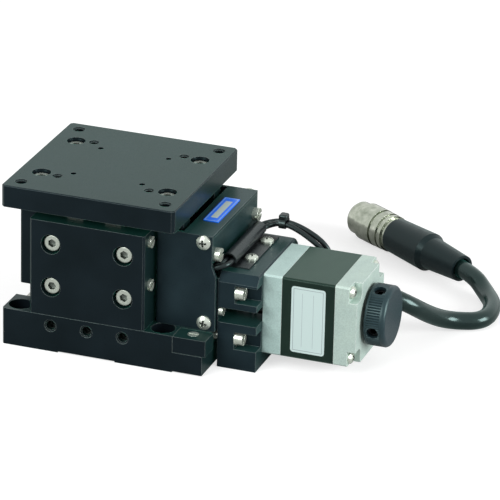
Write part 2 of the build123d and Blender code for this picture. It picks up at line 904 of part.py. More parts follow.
with BuildPart() as lifting_block:
    with BuildSketch(Plane.XY.offset(block_bottom)):
        Rectangle(block_length, 2 * block_outer)
    extrude(amount=table_bottom - block_bottom)
    with BuildSketch(Plane.XZ):
        with BuildLine():
            Polyline(
                (-block_length / 2, block_bottom),
                (block_length / 2, block_bottom),
                (block_length / 2, roof_height(block_length / 2)),
                (-block_length / 2, roof_height(-block_length / 2)),
                close=True,
            )
        make_face()
    extrude(amount=block_inner, both=True, mode=Mode.SUBTRACT)
    upright_corners = lifting_block.edges().filter_by(Axis.Z).filter_by_position(
        Axis.Y, -block_outer - 0.01, -block_outer + 0.01
    ) + lifting_block.edges().filter_by(Axis.Z).filter_by_position(
        Axis.Y, block_outer - 0.01, block_outer + 0.01
    )
    chamfer(upright_corners, 0.5)
    with Locations(Plane.XY.offset(table_bottom)):
        with GridLocations(table_screw_pitch_x, table_screw_pitch_y, 2, 2):
            Hole(m3 / 2 + seat_clearance, depth=table_screw_bore)
    for side in (-1, 1):
        with Locations(
            Plane(
                origin=(0, side * block_outer, block_rail_middle),
                x_dir=(0, 0, 1),
                z_dir=(0, side, 0),
            )
        ):
            with Locations(
                [(level, x) for level in block_rail_holes for x in (-block_rail_x, block_rail_x)]
            ):
                Hole(rail_screw / 2 + seat_clearance, depth=rail_screw_reach + 0.4)
lifting_block.part.label = "lifting_block"
export_step(lifting_block.part, "parts/lifting_block.step")

block_rail_places = [
    upright_rail(towards * roller_x, side, block_rail_middle, towards, -1)
    for side in (-1, 1)
    for towards in (-1, 1)
]
with BuildPart() as block_wall_rails:
    block_rail = groove_rail(
        block_rail_length,
        rail_width,
        rail_depth,
        rail_gap,
        roller_diameter,
        block_rail_holes,
        rail_screw + tap,
        rail_head_bore,
        rail_head_depth,
    )
    with Locations(block_rail_places):
        add(block_rail)
block_wall_rails.part.label = "block_wall_rails"
export_step(block_wall_rails.part, "parts/block_wall_rails.step")

with BuildPart() as block_rail_screws:
    with Locations(
        rail_head_places(
            block_rail_places, block_rail_holes, rail_gap, rail_width, rail_depth, rail_head_depth
        )
    ):
        add(rail_mounting_screw)
block_rail_screws.part.label = "block_rail_screws"
export_step(block_rail_screws.part, "parts/block_rail_screws.step")

high_rail_distance = 12.0
with BuildPart() as block_incline_rails:
    high_incline_rail = groove_rail(
        incline_block_rail_length,
        incline_rail_width,
        incline_rail_depth,
        incline_rail_gap,
        incline_roller_diameter,
        (),
        m2,
    )
    with Locations([incline_rail(high_rail_distance, side, -1, 1) for side in (-1, 1)]):
        add(high_incline_rail)
block_incline_rails.part.label = "block_incline_rails"
export_step(block_incline_rails.part, "parts/block_incline_rails.step")

with BuildPart() as table_plate:
    with BuildSketch(Plane.XY.offset(table_bottom)):
        Rectangle(table_side, table_side)
    extrude(amount=table_thickness)
    chamfer(table_plate.edges().filter_by(Axis.Z), table_corner_chamfer)
    chamfer(table_plate.faces().sort_by(Axis.Z)[-1].edges(), table_edge_chamfer)
    with Locations(Plane.XY.offset(table_top)):
        with GridLocations(table_m4_pitch, table_m4_pitch, 2, 2):
            CounterBoreHole(table_m4_core / 2, table_m4_core / 2 + thread_mouth, thread_mouth)
        with GridLocations(table_m3_pitch, table_m3_pitch, 2, 2):
            CounterBoreHole(
                table_m3_core / 2, table_m3_core / 2 + thread_mouth, thread_mouth, table_thickness - 1.2
            )
        with GridLocations(table_pin_pitch, table_pin_pitch, 2, 2):
            Hole(table_pin_bore / 2, depth=table_pin_depth)
        with GridLocations(table_screw_pitch_x, table_screw_pitch_y, 2, 2):
            CounterBoreHole(m3_clearance / 2, m3_counterbore / 2, table_screw_seat)
table_plate.part.label = "table_plate"
export_step(table_plate.part, "parts/table_plate.step")

with BuildPart() as table_screws:
    table_screw = socket_cap_screw(m3, m3_head, m3_head_height, table_screw_length)
    with Locations(
        [
            (x, y, table_top - table_screw_seat)
            for x in (-table_screw_pitch_x / 2, table_screw_pitch_x / 2)
            for y in (-table_screw_pitch_y / 2, table_screw_pitch_y / 2)
        ]
    ):
        add(table_screw)
table_screws.part.label = "table_screws"
export_step(table_screws.part, "parts/table_screws.step")

dog_foot_thickness = 0.6
dog_bottom = 33.0
dog_height = 3.2
dog_reach = 4.9
dog_blade = 0.8
dog_foot_width = 7.0
sensor_line = block_inner - 0.6
with BuildPart() as sensor_dog:
    with BuildSketch(Plane.XY.offset(dog_bottom)):
        with Locations((block_length / 2 + dog_foot_thickness / 2, sensor_line)):
            Rectangle(dog_foot_thickness, dog_foot_width)
        with Locations((block_length / 2 + dog_reach / 2, sensor_line)):
            Rectangle(dog_reach, dog_blade)
    extrude(amount=dog_height)
sensor_dog.part.label = "sensor_dog"
export_step(sensor_dog.part, "parts/sensor_dog.step")

# ----------------------------------------------------------------------------------------------
# Bearing housing, sheet cover, end plate and limit sensors
# ----------------------------------------------------------------------------------------------

cover_screw_x = cover_upper_right - 2.3
cover_screw_places = [
    (cover_screw_x, base_height + 2.8),
    (cover_screw_x - 0.6, cover_top - 2.3),
]
cover_screw_bore_depth = 4.4
cover_screw_length = 5.0
cover_screw_clearance = 2.9
end_screw_y = 18.2
end_screw_level = 38.8
end_screw_bore_depth = 3.6
end_screw_length = 4.6
end_screw_head = 4.5
end_screw_head_height = 2.0
small_thread = 2.5
post_left = end_plate_left - post_depth
notch_width = 4.8
notch_height = 5.4
lead_recess = 2.0

with BuildPart() as bearing_housing:
    with BuildSketch(Plane.XY.offset(base_height)):
        with Locations(((housing_left + bracket_left) / 2, 0)):
            Rectangle(bracket_left - housing_left, 2 * housing_nose_half)
        with Locations(((housing_left + cover_upper_right) / 2, 0)):
            Rectangle(cover_upper_right - housing_left, 2 * cover_inner)
    extrude(amount=housing_block_height)
    with BuildSketch(Plane.XY.offset(housing_top)):
        for side in (-1, 1):
            with Locations(((post_left + end_plate_left) / 2, side * (cover_inner - post_width / 2))):
                Rectangle(post_depth, post_width)
    extrude(amount=cover_top - cover_wall - housing_top)
    with BuildSketch(Plane.YZ.offset(housing_left)):
        with Locations((0, spindle_height)):
            Circle(bearing_diameter / 2 - 1.5)
    extrude(amount=bracket_left - housing_left, mode=Mode.SUBTRACT)
    with BuildSketch(Plane.YZ.offset(bearings_left)):
        with Locations((0, spindle_height)):
            Circle(bearing_diameter / 2 + seat_clearance)
    extrude(amount=bracket_left - bearings_left, mode=Mode.SUBTRACT)
    for side in (-1, 1):
        for x, level in cover_screw_places:
            with Locations(Plane(origin=(x, side * cover_inner, level), z_dir=(0, side, 0))):
                Hole(small_thread / 2 + seat_clearance, depth=cover_screw_bore_depth)
    for side in (-1, 1):
        with Locations(
            Plane(origin=(end_plate_left, side * end_screw_y, end_screw_level), z_dir=(1, 0, 0))
        ):
            Hole(small_thread / 2 + seat_clearance, depth=end_screw_bore_depth)
        with Locations(
            Plane(origin=(bracket_left, side * bracket_screw_y, bracket_screw_high), z_dir=(1, 0, 0))
        ):
            Hole((m3 + tap) / 2, depth=bracket_screw_grip + 0.6)
    with Locations(Plane(origin=(bracket_left, -slot_screw_y, slot_screw_level), z_dir=(1, 0, 0))):
        Hole((slot_screw_thread + tap) / 2, depth=slot_screw_grip + 0.4)
    with BuildSketch(Plane.XY.offset(housing_top)):
        with Locations((end_plate_left - lead_recess / 2, -cover_inner + notch_width * 0.42)):
            Rectangle(lead_recess, notch_width * 0.84)
    extrude(amount=notch_height, mode=Mode.SUBTRACT)
bearing_housing.part.label = "bearing_housing"
export_step(bearing_housing.part, "parts/bearing_housing.step")

with BuildPart() as sensor_cover:
    with BuildSketch(Plane.XZ.offset(-cover_width / 2)):
        with BuildLine():
            Polyline(
                (cover_left, base_height),
                (cover_lower_right, base_height),
                (cover_lower_right, base_height + cover_step_low),
                (cover_upper_right, base_height + cover_step_high),
                (cover_upper_right, cover_top),
                (cover_left, cover_top),
                close=True,
            )
        make_face()
    extrude(amount=cover_width)
    fillet(sensor_cover.edges().filter_by(Axis.Z).group_by(Axis.X)[0], cover_bend_radius)
    with BuildSketch(Plane.XY.offset(base_height)):
        with Locations(((cover_left + cover_wall + cover_lower_right) / 2, 0)):
            Rectangle(cover_lower_right - cover_left - cover_wall, 2 * cover_inner)
    extrude(amount=cover_height - cover_wall, mode=Mode.SUBTRACT)
    with BuildSketch(Plane.XY.offset(base_height)):
        with Locations(((cover_left + cover_top_left) / 2 - 1, 0)):
            Rectangle(cover_top_left - cover_left + 2, cover_width - 2 * cover_lip)
    extrude(amount=cover_height, mode=Mode.SUBTRACT)
    with BuildSketch(Plane.XY.offset(cover_top - cover_wall)):
        with Locations(((cover_left + cover_wall + cover_top_left) / 2, 0)):
            Rectangle(cover_top_left - cover_left - cover_wall, 2 * cover_inner)
    extrude(amount=cover_wall, mode=Mode.SUBTRACT)
    for side in (-1, 1):
        for x, level in cover_screw_places:
            with Locations(Plane(origin=(x, side * cover_width / 2, level), z_dir=(0, side, 0))):
                Hole(cover_screw_clearance / 2, depth=cover_wall)
sensor_cover.part.label = "sensor_cover"
export_step(sensor_cover.part, "parts/sensor_cover.step")

cover_screw_head = 4.8
cover_screw_head_height = 1.7
with BuildPart() as cover_screws:
    cover_screw = cross_pan_screw(
        small_thread, cover_screw_head, cover_screw_head_height, cover_screw_length
    )
    with Locations(
        [
            Plane(origin=(x, side * cover_width / 2, level), z_dir=(0, side, 0)).location
            for side in (-1, 1)
            for x, level in cover_screw_places
        ]
    ):
        add(cover_screw)
cover_screws.part.label = "cover_screws"
export_step(cover_screws.part, "parts/cover_screws.step")

with BuildPart() as housing_end_plate:
    with BuildSketch(Plane.YZ.offset(end_plate_left)):
        with Locations((0, (housing_top + cover_top - cover_wall) / 2)):
            Rectangle(2 * cover_inner, cover_top - cover_wall - housing_top)
        with Locations((-cover_inner + notch_width / 2, housing_top + notch_height / 2)):
            Rectangle(notch_width, notch_height, mode=Mode.SUBTRACT)
        with Locations((-end_screw_y, end_screw_level), (end_screw_y, end_screw_level)):
            Circle(cover_screw_clearance / 2, mode=Mode.SUBTRACT)
    extrude(amount=end_plate_thickness)
housing_end_plate.part.label = "housing_end_plate"
export_step(housing_end_plate.part, "parts/housing_end_plate.step")

with BuildPart() as end_plate_screws:
    end_plate_screw = slotted_screw(
        small_thread, end_screw_head, end_screw_head_height, end_screw_length
    )
    with Locations(
        [
            Plane(
                origin=(cover_upper_right, y, end_screw_level),
                x_dir=(0, 1, 0),
                z_dir=(1, 0, 0),
            ).location
            for y in (-end_screw_y, end_screw_y)
        ]
    ):
        add(end_plate_screw)
end_plate_screws.part.label = "end_plate_screws"
export_step(end_plate_screws.part, "parts/end_plate_screws.step")

board_thickness = 1.2
board_width = 30.0
with BuildPart() as sensor_board:
    with BuildSketch(Plane.YZ.offset(end_plate_left - board_thickness)):
        with Locations((0, (housing_top + cover_top - cover_wall) / 2 - 0.4)):
            Rectangle(board_width, cover_top - cover_wall - housing_top - 0.8)
    extrude(amount=board_thickness)
sensor_board.part.label = "sensor_board"
export_step(sensor_board.part, "parts/sensor_board.step")

sensor_depth = 6.4
sensor_width = 6.6
sensor_height = 3.8
sensor_slot = 2.6
sensor_slot_depth = 4.8
sensor_back = end_plate_left - board_thickness
with BuildPart() as limit_sensors:
    for bottom in (housing_top + 0.7, housing_top + 9.3):
        with BuildSketch(Plane.XY.offset(bottom)):
            with Locations((sensor_back - sensor_depth / 2, sensor_line)):
                Rectangle(sensor_depth, sensor_width)
            with Locations((sensor_back - sensor_depth + sensor_slot_depth / 2, sensor_line)):
                Rectangle(sensor_slot_depth, sensor_slot, mode=Mode.SUBTRACT)
        extrude(amount=sensor_height)
limit_sensors.part.label = "limit_sensors"
export_step(limit_sensors.part, "parts/limit_sensors.step")

with BuildPart() as screw_bearings:
    for left in (bearings_left, bearings_right - bearing_width):
        with BuildSketch(Plane.XZ):
            with BuildLine():
                Polyline(
                    (left, spindle_height + journal_diameter / 2 + running_clearance),
                    (left + bearing_width, spindle_height + journal_diameter / 2 + running_clearance),
                    (left + bearing_width, spindle_height + bearing_diameter / 2),
                    (left, spindle_height + bearing_diameter / 2),
                    close=True,
                )
            make_face()
            with Locations((left + bearing_width / 2, spindle_height + bearing_diameter * 0.35)):
                with Locations((-bearing_width / 2, 0), (bearing_width / 2, 0)):
                    Rectangle(0.5, 1.0, mode=Mode.SUBTRACT)
        revolve(axis=Axis((0, 0, spindle_height), (1, 0, 0)))
screw_bearings.part.label = "screw_bearings"
export_step(screw_bearings.part, "parts/screw_bearings.step")

plate_label_length = 20.8
plate_label_width = 5.3
plate_label_x = 35.1
plate_label_y = 0.7
with BuildPart() as maker_plate:
    with BuildSketch(Plane.XY.offset(cover_top)):
        with Locations((plate_label_x, plate_label_y)):
            RectangleRounded(plate_label_width, plate_label_length, 0.4)
    extrude(amount=0.3)
maker_plate.part.label = "maker_plate"
export_step(maker_plate.part, "parts/maker_plate.step")

# ----------------------------------------------------------------------------------------------
# Drive line: screw, lock nut, coupling, rotor and knob turn together
# ----------------------------------------------------------------------------------------------

thread_end = bearings_left - 0.2
screw_end = bracket_left + 6.1
motor_shaft_start = screw_end + 1.0
with BuildPart() as lead_screw:
    with BuildSketch(Plane.XZ):
        with BuildLine():
            Polyline(
                (screw_left, spindle_height),
                (screw_left, spindle_height + screw_diameter / 2 - 0.6),
                (screw_left + 0.6, spindle_height + screw_diameter / 2),
                (thread_end, spindle_height + screw_diameter / 2),
                (thread_end, spindle_height + journal_diameter / 2),
                (screw_end, spindle_height + journal_diameter / 2),
                (screw_end, spindle_height),
                close=True,
            )
        make_face()
    revolve(axis=Axis((0, 0, spindle_height), (1, 0, 0)))
lead_screw.part.label = "lead_screw"
export_step(lead_screw.part, "parts/lead_screw.step")

with BuildPart() as screw_locknut:
    with BuildSketch(Plane.YZ.offset(bearings_right + 0.2)):
        with Locations((0, spindle_height)):
            RegularPolygon(radius=4.4, side_count=6)
            Circle(journal_diameter / 2 + seat_clearance, mode=Mode.SUBTRACT)
    extrude(amount=2.6)
screw_locknut.part.label = "screw_locknut"
export_step(screw_locknut.part, "parts/screw_locknut.step")

coupling_left = (screw_end + motor_shaft_start) / 2 - coupling_length / 2
with BuildPart() as coupling:
    with BuildSketch(Plane.YZ.offset(coupling_left)):
        with Locations((0, spindle_height)):
            Circle(coupling_diameter / 2)
            Circle(journal_diameter / 2 + seat_clearance, mode=Mode.SUBTRACT)
    extrude(amount=coupling_length)
    for index, turn in enumerate((0, 90, 180)):
        slit_left = coupling_left + coupling_length / 2 - 2.2 + index * 1.8
        with BuildSketch(Plane.YZ.offset(slit_left)):
            with Locations(Location((0, spindle_height, 0), (0, 0, turn))):
                with Locations((2.0, 0)):
                    Rectangle(coupling_diameter - 2.0, coupling_diameter)
        extrude(amount=0.8, mode=Mode.SUBTRACT)
coupling.part.label = "coupling"
export_step(coupling.part, "parts/coupling.step")

with BuildPart() as motor_rotor:
    with BuildSketch(Plane.XZ):
        with BuildLine():
            Polyline(
                (motor_shaft_start, spindle_height),
                (motor_shaft_start, spindle_height + motor_shaft_diameter / 2),
                (stator_left + 1.2, spindle_height + motor_shaft_diameter / 2),
                (stator_left + 1.2, spindle_height + motor_rotor_diameter / 2),
                (cap_left - 1.2, spindle_height + motor_rotor_diameter / 2),
                (cap_left - 1.2, spindle_height + motor_shaft_diameter / 2),
                (knob_right - 1.6, spindle_height + motor_shaft_diameter / 2),
                (knob_right - 1.6, spindle_height),
                close=True,
            )
        make_face()
    revolve(axis=Axis((0, 0, spindle_height), (1, 0, 0)))
motor_rotor.part.label = "motor_rotor"
export_step(motor_rotor.part, "parts/motor_rotor.step")

knob_screw_x = knob_left + 2.9
knob_screw_angles = (75.0, -15.0)
knob_screw_length = (knob_diameter - motor_shaft_diameter) / 2 - 1.4


def knob_screw_plane(angle, radius):
    """Plane on the knob's rim: angle counted upwards from the side that faces -Y."""
    outward = (0, -cos(radians(angle)), sin(radians(angle)))
    return Plane(
        origin=(knob_screw_x, radius * outward[1], spindle_height + radius * outward[2]),
        x_dir=(1, 0, 0),
        z_dir=outward,
    )


with BuildPart() as hand_knob:
    with BuildSketch(Plane.YZ.offset(knob_left)):
        with Locations((0, spindle_height)):
            Circle(knob_diameter / 2)
    extrude(amount=knob_length)
    fillet(hand_knob.edges().sort_by(Axis.X)[-1], knob_face_round)
    with BuildSketch(Plane.YZ.offset(knob_left + knurl_offset)):
        with Locations((0, spindle_height)):
            with PolarLocations(knob_diameter / 2 + 0.12, knurl_count):
                RegularPolygon(radius=knurl_depth + 0.12, side_count=4)
    extrude(amount=knurl_width, mode=Mode.SUBTRACT)
    with BuildSketch(Plane.YZ.offset(knob_left)):
        with Locations((0, spindle_height)):
            Circle(motor_shaft_diameter / 2 + seat_clearance)
    extrude(amount=knob_length - 1.4, mode=Mode.SUBTRACT)
    for angle in knob_screw_angles:
        with Locations(knob_screw_plane(angle, knob_diameter / 2)):
            Hole(
                knob_set_screw_diameter / 2 + seat_clearance,
                depth=(knob_diameter - motor_shaft_diameter) / 2,
            )
hand_knob.part.label = "hand_knob"
export_step(hand_knob.part, "parts/hand_knob.step")

with BuildPart() as knob_set_screws:
    knob_set_screw = socket_set_screw(knob_set_screw_diameter, knob_screw_length)
    with Locations(
        [
            knob_screw_plane(angle, motor_shaft_diameter / 2 + seat_clearance + knob_screw_length).location
            for angle in knob_screw_angles
        ]
    ):
        add(knob_set_screw)
knob_set_screws.part.label = "knob_set_screws"
export_step(knob_set_screws.part, "parts/knob_set_screws.step")

# ----------------------------------------------------------------------------------------------
# Motor bracket
# ----------------------------------------------------------------------------------------------

pad_height = base_height - 3.0

with BuildPart() as motor_bracket:
    with BuildSketch(Plane.YZ.offset(bracket_left)):
        with Locations((0, bracket_height / 2)):
            Rectangle(bracket_width, bracket_height)
    extrude(amount=bracket_length)
    long_top_edges = motor_bracket.edges().filter_by(Axis.X).group_by(Axis.Z)[-1]
    chamfer(long_top_edges, bracket_top_chamfer)
    chamfer(motor_bracket.faces().sort_by(Axis.X)[-1].edges().group_by(Axis.Z)[-1], 0.6)
    with BuildSketch(Plane.YZ.offset(base_right)):
        with Locations((0, 1.6 + pad_height / 2)):
            Rectangle(2 * (wall_inner - 2), pad_height)
    extrude(amount=bracket_left - base_right)
    with BuildSketch(Plane.YZ.offset(bracket_left)):
        with Locations((0, spindle_height)):
            Circle(coupling_bore_in_bracket / 2)
    extrude(amount=bracket_length, mode=Mode.SUBTRACT)
    for side in (-1, 1):
        for bottom in (bracket_notch_low, bracket_notch_high):
            with BuildSketch(Plane.XY.offset(bottom)):
                with Locations(
                    (
                        (bracket_notch_left + bracket_right) / 2,
                        side * (bracket_width - bracket_notch_depth) / 2,
                    )
                ):
                    Rectangle(bracket_right - bracket_notch_left, bracket_notch_depth)
            extrude(amount=bracket_notch_height, mode=Mode.SUBTRACT)
        for level in (bracket_screw_low, bracket_screw_high):
            with Locations(
                Plane(origin=(bracket_notch_left, side * bracket_screw_y, level), z_dir=(1, 0, 0))
            ):
                Hole(m3_clearance / 2, depth=bracket_notch_left - bracket_left)
    slot_depth = bracket_width / 2 - coupling_bore_in_bracket / 2 + 1.0
    with BuildSketch(Plane.XY.offset(bracket_slot_bottom)):
        with Locations(((bracket_left + bracket_right) / 2, -(bracket_width - slot_depth) / 2)):
            Rectangle(bracket_length, slot_depth)
    extrude(amount=bracket_slot_height, mode=Mode.SUBTRACT)
    for y in (clamp_screw_front, clamp_screw_back):
        with Locations((clamp_screw_x, y, bracket_top)):
            Hole((m26 + tap) / 2, depth=clamp_screw_grip + 0.4)
motor_bracket.part.label = "motor_bracket"
export_step(motor_bracket.part, "parts/motor_bracket.step")

bracket_screw_places = [
    Plane(
        origin=(bracket_notch_left, side * bracket_screw_y, level),
        x_dir=(0, cos(radians(65)), sin(radians(65))),
        z_dir=(1, 0, 0),
    ).location
    for level in (bracket_screw_low, bracket_screw_high)
    for side in (-1, 1)
]
bracket_screw_head = 4.5
bracket_screw_head_height = 2.0
bracket_washer = 4.9
bracket_washer_thickness = 0.8
bracket_screw_spans = (bracket_notch_left - base_right, bracket_flange)
with BuildPart() as bracket_screws:
    for places, span in zip((bracket_screw_places[:2], bracket_screw_places[2:]), bracket_screw_spans):
        with Locations(places):
            add(
                slotted_washer_screw(
                    m3,
                    bracket_screw_head,
                    bracket_screw_head_height,
                    bracket_washer,
                    bracket_washer_thickness,
                    span + bracket_screw_grip,
                )
            )
bracket_screws.part.label = "bracket_screws"
export_step(bracket_screws.part, "parts/bracket_screws.step")

with BuildPart() as slot_screw:
    with Locations(
        Plane(
            origin=(bracket_left, -slot_screw_y, slot_screw_level),
            x_dir=(0, cos(radians(80)), sin(radians(80))),
            z_dir=(1, 0, 0),
        )
    ):
        add(
            slotted_screw(
                slot_screw_thread, slot_screw_head, slot_screw_head_height, slot_screw_grip
            )
        )
slot_screw.part.label = "slot_screw"
export_step(slot_screw.part, "parts/slot_screw.step")

# ----------------------------------------------------------------------------------------------
# Stepping motor
# ----------------------------------------------------------------------------------------------

motor_edge_round = 0.5
motor_bearing_diameter = 11.0
motor_bearing_width = 3.5
motor_bore_clearance = 0.3
motor_screw_diameter = 2.5
motor_screw_head = 4.2
motor_screw_head_height = 1.8


def make_motor_block(left, length, corner):
    """Square block of the motor from left, with its four long edges bevelled."""
    with BuildPart() as block:
        with BuildSketch(Plane.YZ.offset(left)):
            with Locations((0, spindle_height)):
                Rectangle(motor_side, motor_side)
        extrude(amount=length)
        chamfer(block.edges().filter_by(Axis.X), corner)
    return block.part


with BuildPart() as motor_flange:
    add(make_motor_block(motor_left, motor_flange_length, motor_edge_round))
    with BuildSketch(Plane.YZ.offset(motor_left - motor_pilot_length)):
        with Locations((0, spindle_height)):
            Circle(motor_pilot_diameter / 2)
    extrude(amount=motor_pilot_length)
    with BuildSketch(Plane.YZ.offset(motor_left - motor_pilot_length)):
        with Locations((0, spindle_height)):
            Circle(motor_shaft_diameter / 2 + motor_bore_clearance)
    extrude(amount=motor_pilot_length + motor_flange_length, mode=Mode.SUBTRACT)
    with BuildSketch(Plane.YZ.offset(stator_left - motor_bearing_width)):
        with Locations((0, spindle_height)):
            Circle(motor_bearing_diameter / 2 + seat_clearance)
    extrude(amount=motor_bearing_width, mode=Mode.SUBTRACT)
    with BuildSketch(Plane.YZ.offset(motor_left)):
        with Locations((0, spindle_height)):
            with GridLocations(motor_screw_pitch, motor_screw_pitch, 2, 2):
                Circle(motor_screw_diameter / 2 + seat_clearance)
    extrude(amount=motor_flange_length, mode=Mode.SUBTRACT)
motor_flange.part.label = "motor_flange"
export_step(motor_flange.part, "parts/motor_flange.step")

with BuildPart() as motor_stator:
    add(make_motor_block(stator_left, motor_stator_length, motor_edge_round))
    with BuildSketch(Plane.YZ.offset(stator_left)):
        with Locations((0, spindle_height)):
            Circle(motor_rotor_diameter / 2 + motor_bore_clearance)
            with GridLocations(motor_screw_pitch, motor_screw_pitch, 2, 2):
                Circle(motor_screw_diameter / 2 + seat_clearance)
    extrude(amount=motor_stator_length, mode=Mode.SUBTRACT)
motor_stator.part.label = "motor_stator"
export_step(motor_stator.part, "parts/motor_stator.step")

pocket_seat = motor_right - motor_pocket_depth
with BuildPart() as motor_end_cap:
    add(make_motor_block(cap_left, motor_cap_length, motor_edge_round))
    with BuildSketch(Plane.YZ.offset(pocket_seat)):
        with Locations((0, spindle_height)):
            with GridLocations(motor_side, motor_side, 2, 2):
                RectangleRounded(2 * motor_pocket_side, 2 * motor_pocket_side, motor_pocket_round)
    extrude(amount=motor_pocket_depth, mode=Mode.SUBTRACT)
    with BuildSketch(Plane.YZ.offset(cap_left)):
        with Locations((0, spindle_height)):
            Circle(motor_shaft_diameter / 2 + motor_bore_clearance)
            with GridLocations(motor_screw_pitch, motor_screw_pitch, 2, 2):
                Circle(motor_screw_diameter / 2 + seat_clearance)
    extrude(amount=motor_cap_length, mode=Mode.SUBTRACT)
    with BuildSketch(Plane.YZ.offset(cap_left)):
        with Locations((0, spindle_height)):
            Circle(motor_bearing_diameter / 2 + seat_clearance)
    extrude(amount=motor_bearing_width, mode=Mode.SUBTRACT)
motor_end_cap.part.label = "motor_end_cap"
export_step(motor_end_cap.part, "parts/motor_end_cap.step")

with BuildPart() as motor_bearings:
    for left in (stator_left - motor_bearing_width, cap_left):
        with BuildSketch(Plane.YZ.offset(left)):
            with Locations((0, spindle_height)):
                Circle(motor_bearing_diameter / 2)
                Circle(motor_shaft_diameter / 2 + running_clearance, mode=Mode.SUBTRACT)
        extrude(amount=motor_bearing_width)
motor_bearings.part.label = "motor_bearings"
export_step(motor_bearings.part, "parts/motor_bearings.step")

with BuildPart() as motor_through_screws:
    motor_screw = cross_pan_screw(
        motor_screw_diameter,
        motor_screw_head,
        motor_screw_head_height,
        pocket_seat - motor_left - 1.0,
    )
    with Locations(
        [
            Plane(
                origin=(pocket_seat, y, spindle_height + z),
                x_dir=(0, 1, 0),
                z_dir=(1, 0, 0),
            ).location
            for y in (-motor_screw_pitch / 2, motor_screw_pitch / 2)
            for z in (-motor_screw_pitch / 2, motor_screw_pitch / 2)
        ]
    ):
        add(motor_screw)
motor_through_screws.part.label = "motor_through_screws"
export_step(motor_through_screws.part, "parts/motor_through_screws.step")

rating_label_width = 11.6
rating_label_height = 23.2
rating_label_thickness = 0.12
with BuildPart() as motor_label:
    with BuildSketch(Plane.XZ.offset(motor_side / 2)):
        with Locations((stator_left + motor_stator_length / 2 + 0.1, spindle_height)):
            RectangleRounded(rating_label_width, rating_label_height, 1.0)
    extrude(amount=rating_label_thickness)
motor_label.part.label = "motor_label"
export_step(motor_label.part, "parts/motor_label.step")

# ----------------------------------------------------------------------------------------------
# Cable clamp, its screws and the tie
# ----------------------------------------------------------------------------------------------

clamp_roll_level = bracket_top + clamp_roll_outer
clamp_length = clamp_back - clamp_front
with BuildPart() as cable_clamp:
    with BuildSketch(Plane.XZ.offset(-clamp_back)):
        with BuildLine():
            CenterArc((clamp_roll_x, clamp_roll_level), clamp_roll_outer, -90, -290)
            seam_end = (
                clamp_roll_x + clamp_roll_outer * cos(radians(-20)),
                clamp_roll_level + clamp_roll_outer * sin(radians(-20)),
            )
            inner_end = (
                clamp_roll_x + (clamp_roll_outer - clamp_wall) * cos(radians(-20)),
                clamp_roll_level + (clamp_roll_outer - clamp_wall) * sin(radians(-20)),
            )
            Line(seam_end, inner_end)
            CenterArc((clamp_roll_x, clamp_roll_level), clamp_roll_outer - clamp_wall, -20, 290)
            Line(
                (clamp_roll_x, clamp_roll_level - clamp_roll_outer + clamp_wall),
                (clamp_roll_x, clamp_roll_level - clamp_roll_outer),
            )
        make_face()
        with Locations(
            ((clamp_roll_x + clamp_flange_right) / 2, bracket_top + clamp_wall / 2)
        ):
            Rectangle(clamp_flange_right - clamp_roll_x, clamp_wall)
    extrude(amount=clamp_length)
    for y in (clamp_screw_front, clamp_screw_back):
        with Locations((clamp_screw_x, y, bracket_top + clamp_wall)):
            Hole(m26 / 2 + 0.1, depth=clamp_wall)
cable_clamp.part.label = "cable_clamp"
export_step(cable_clamp.part, "parts/cable_clamp.step")

with BuildPart() as clamp_screws:
    clamp_screw = cross_pan_screw(m26, clamp_screw_head, 1.7, clamp_wall + clamp_screw_grip)
    with Locations(
        [
            Location((clamp_screw_x, y, bracket_top + clamp_wall), (0, 0, 25))
            for y in (clamp_screw_front, clamp_screw_back)
        ]
    ):
        add(clamp_screw)
clamp_screws.part.label = "clamp_screws"
export_step(clamp_screws.part, "parts/clamp_screws.step")

# ----------------------------------------------------------------------------------------------
# Leads, sleeve, main cable and connector
# ----------------------------------------------------------------------------------------------


def arc_radii(points):
    """Largest arc at each inner point that leaves the runs beside it room: 0.45 of the shorter run."""
    radii = []
    for before, here, after in zip(points, points[1:], points[2:]):
        run_in = here - before
        run_out = after - here
        half_turn = radians(run_in.get_angle(run_out)) / 2
        radii.append(0.45 * min(run_in.length, run_out.length) / tan(half_turn))
    return radii


def make_tube(route, diameter, name, widest=()):
    """Round tube along straight runs joined by tangent arcs, some held to a widest radius."""
    points = [Vector(*point) for point in route]
    radii = arc_radii(points)
    for place, radius in enumerate(widest):
        radii[place] = min(radii[place], radius)
    with BuildPart() as tube:
        with BuildLine() as path:
            FilletPolyline(*points, radius=radii)
        with BuildSketch(Plane(origin=points[0], z_dir=points[1] - points[0])):
            Circle(diameter / 2)
        sweep()
    length = path.wires()[0].length
    swept = 3.141592654 * diameter**2 / 4 * length
    print(name, "radii", [round(radius, 1) for radius in radii], "length", round(length, 1))
    print(name, "volume over section times length", round(tube.part.volume / swept, 4))
    return tube.part


lead_spread = lead_diameter / 2 + 0.05
lead_start_x = end_plate_left - lead_recess + 0.4
lead_row = 18.35
lead_rise_x = clamp_flange_right + 1.9
lead_rise_level = bracket_top + 5.3
lead_turn_x = motor_left + 9.4
lead_turn_level = 32.0
lead_parting_up = 1.2
lead_parting_down = 0.6
lead_end_run = 6.5

sleeve_start_level = spindle_height + 2.9
sleeve_end_level = spindle_height + 0.7
sleeve_start = Vector(cap_left - 6.2, lead_row, sleeve_start_level)
sleeve_end = Vector(cap_left + 1.8, lead_row, sleeve_end_level)
sleeve_along = (sleeve_end - sleeve_start).normalized()
sleeve_diameter = 6.8
sleeve_stub_diameter = 4.8
lead_drop = sleeve_start - sleeve_along * lead_end_run

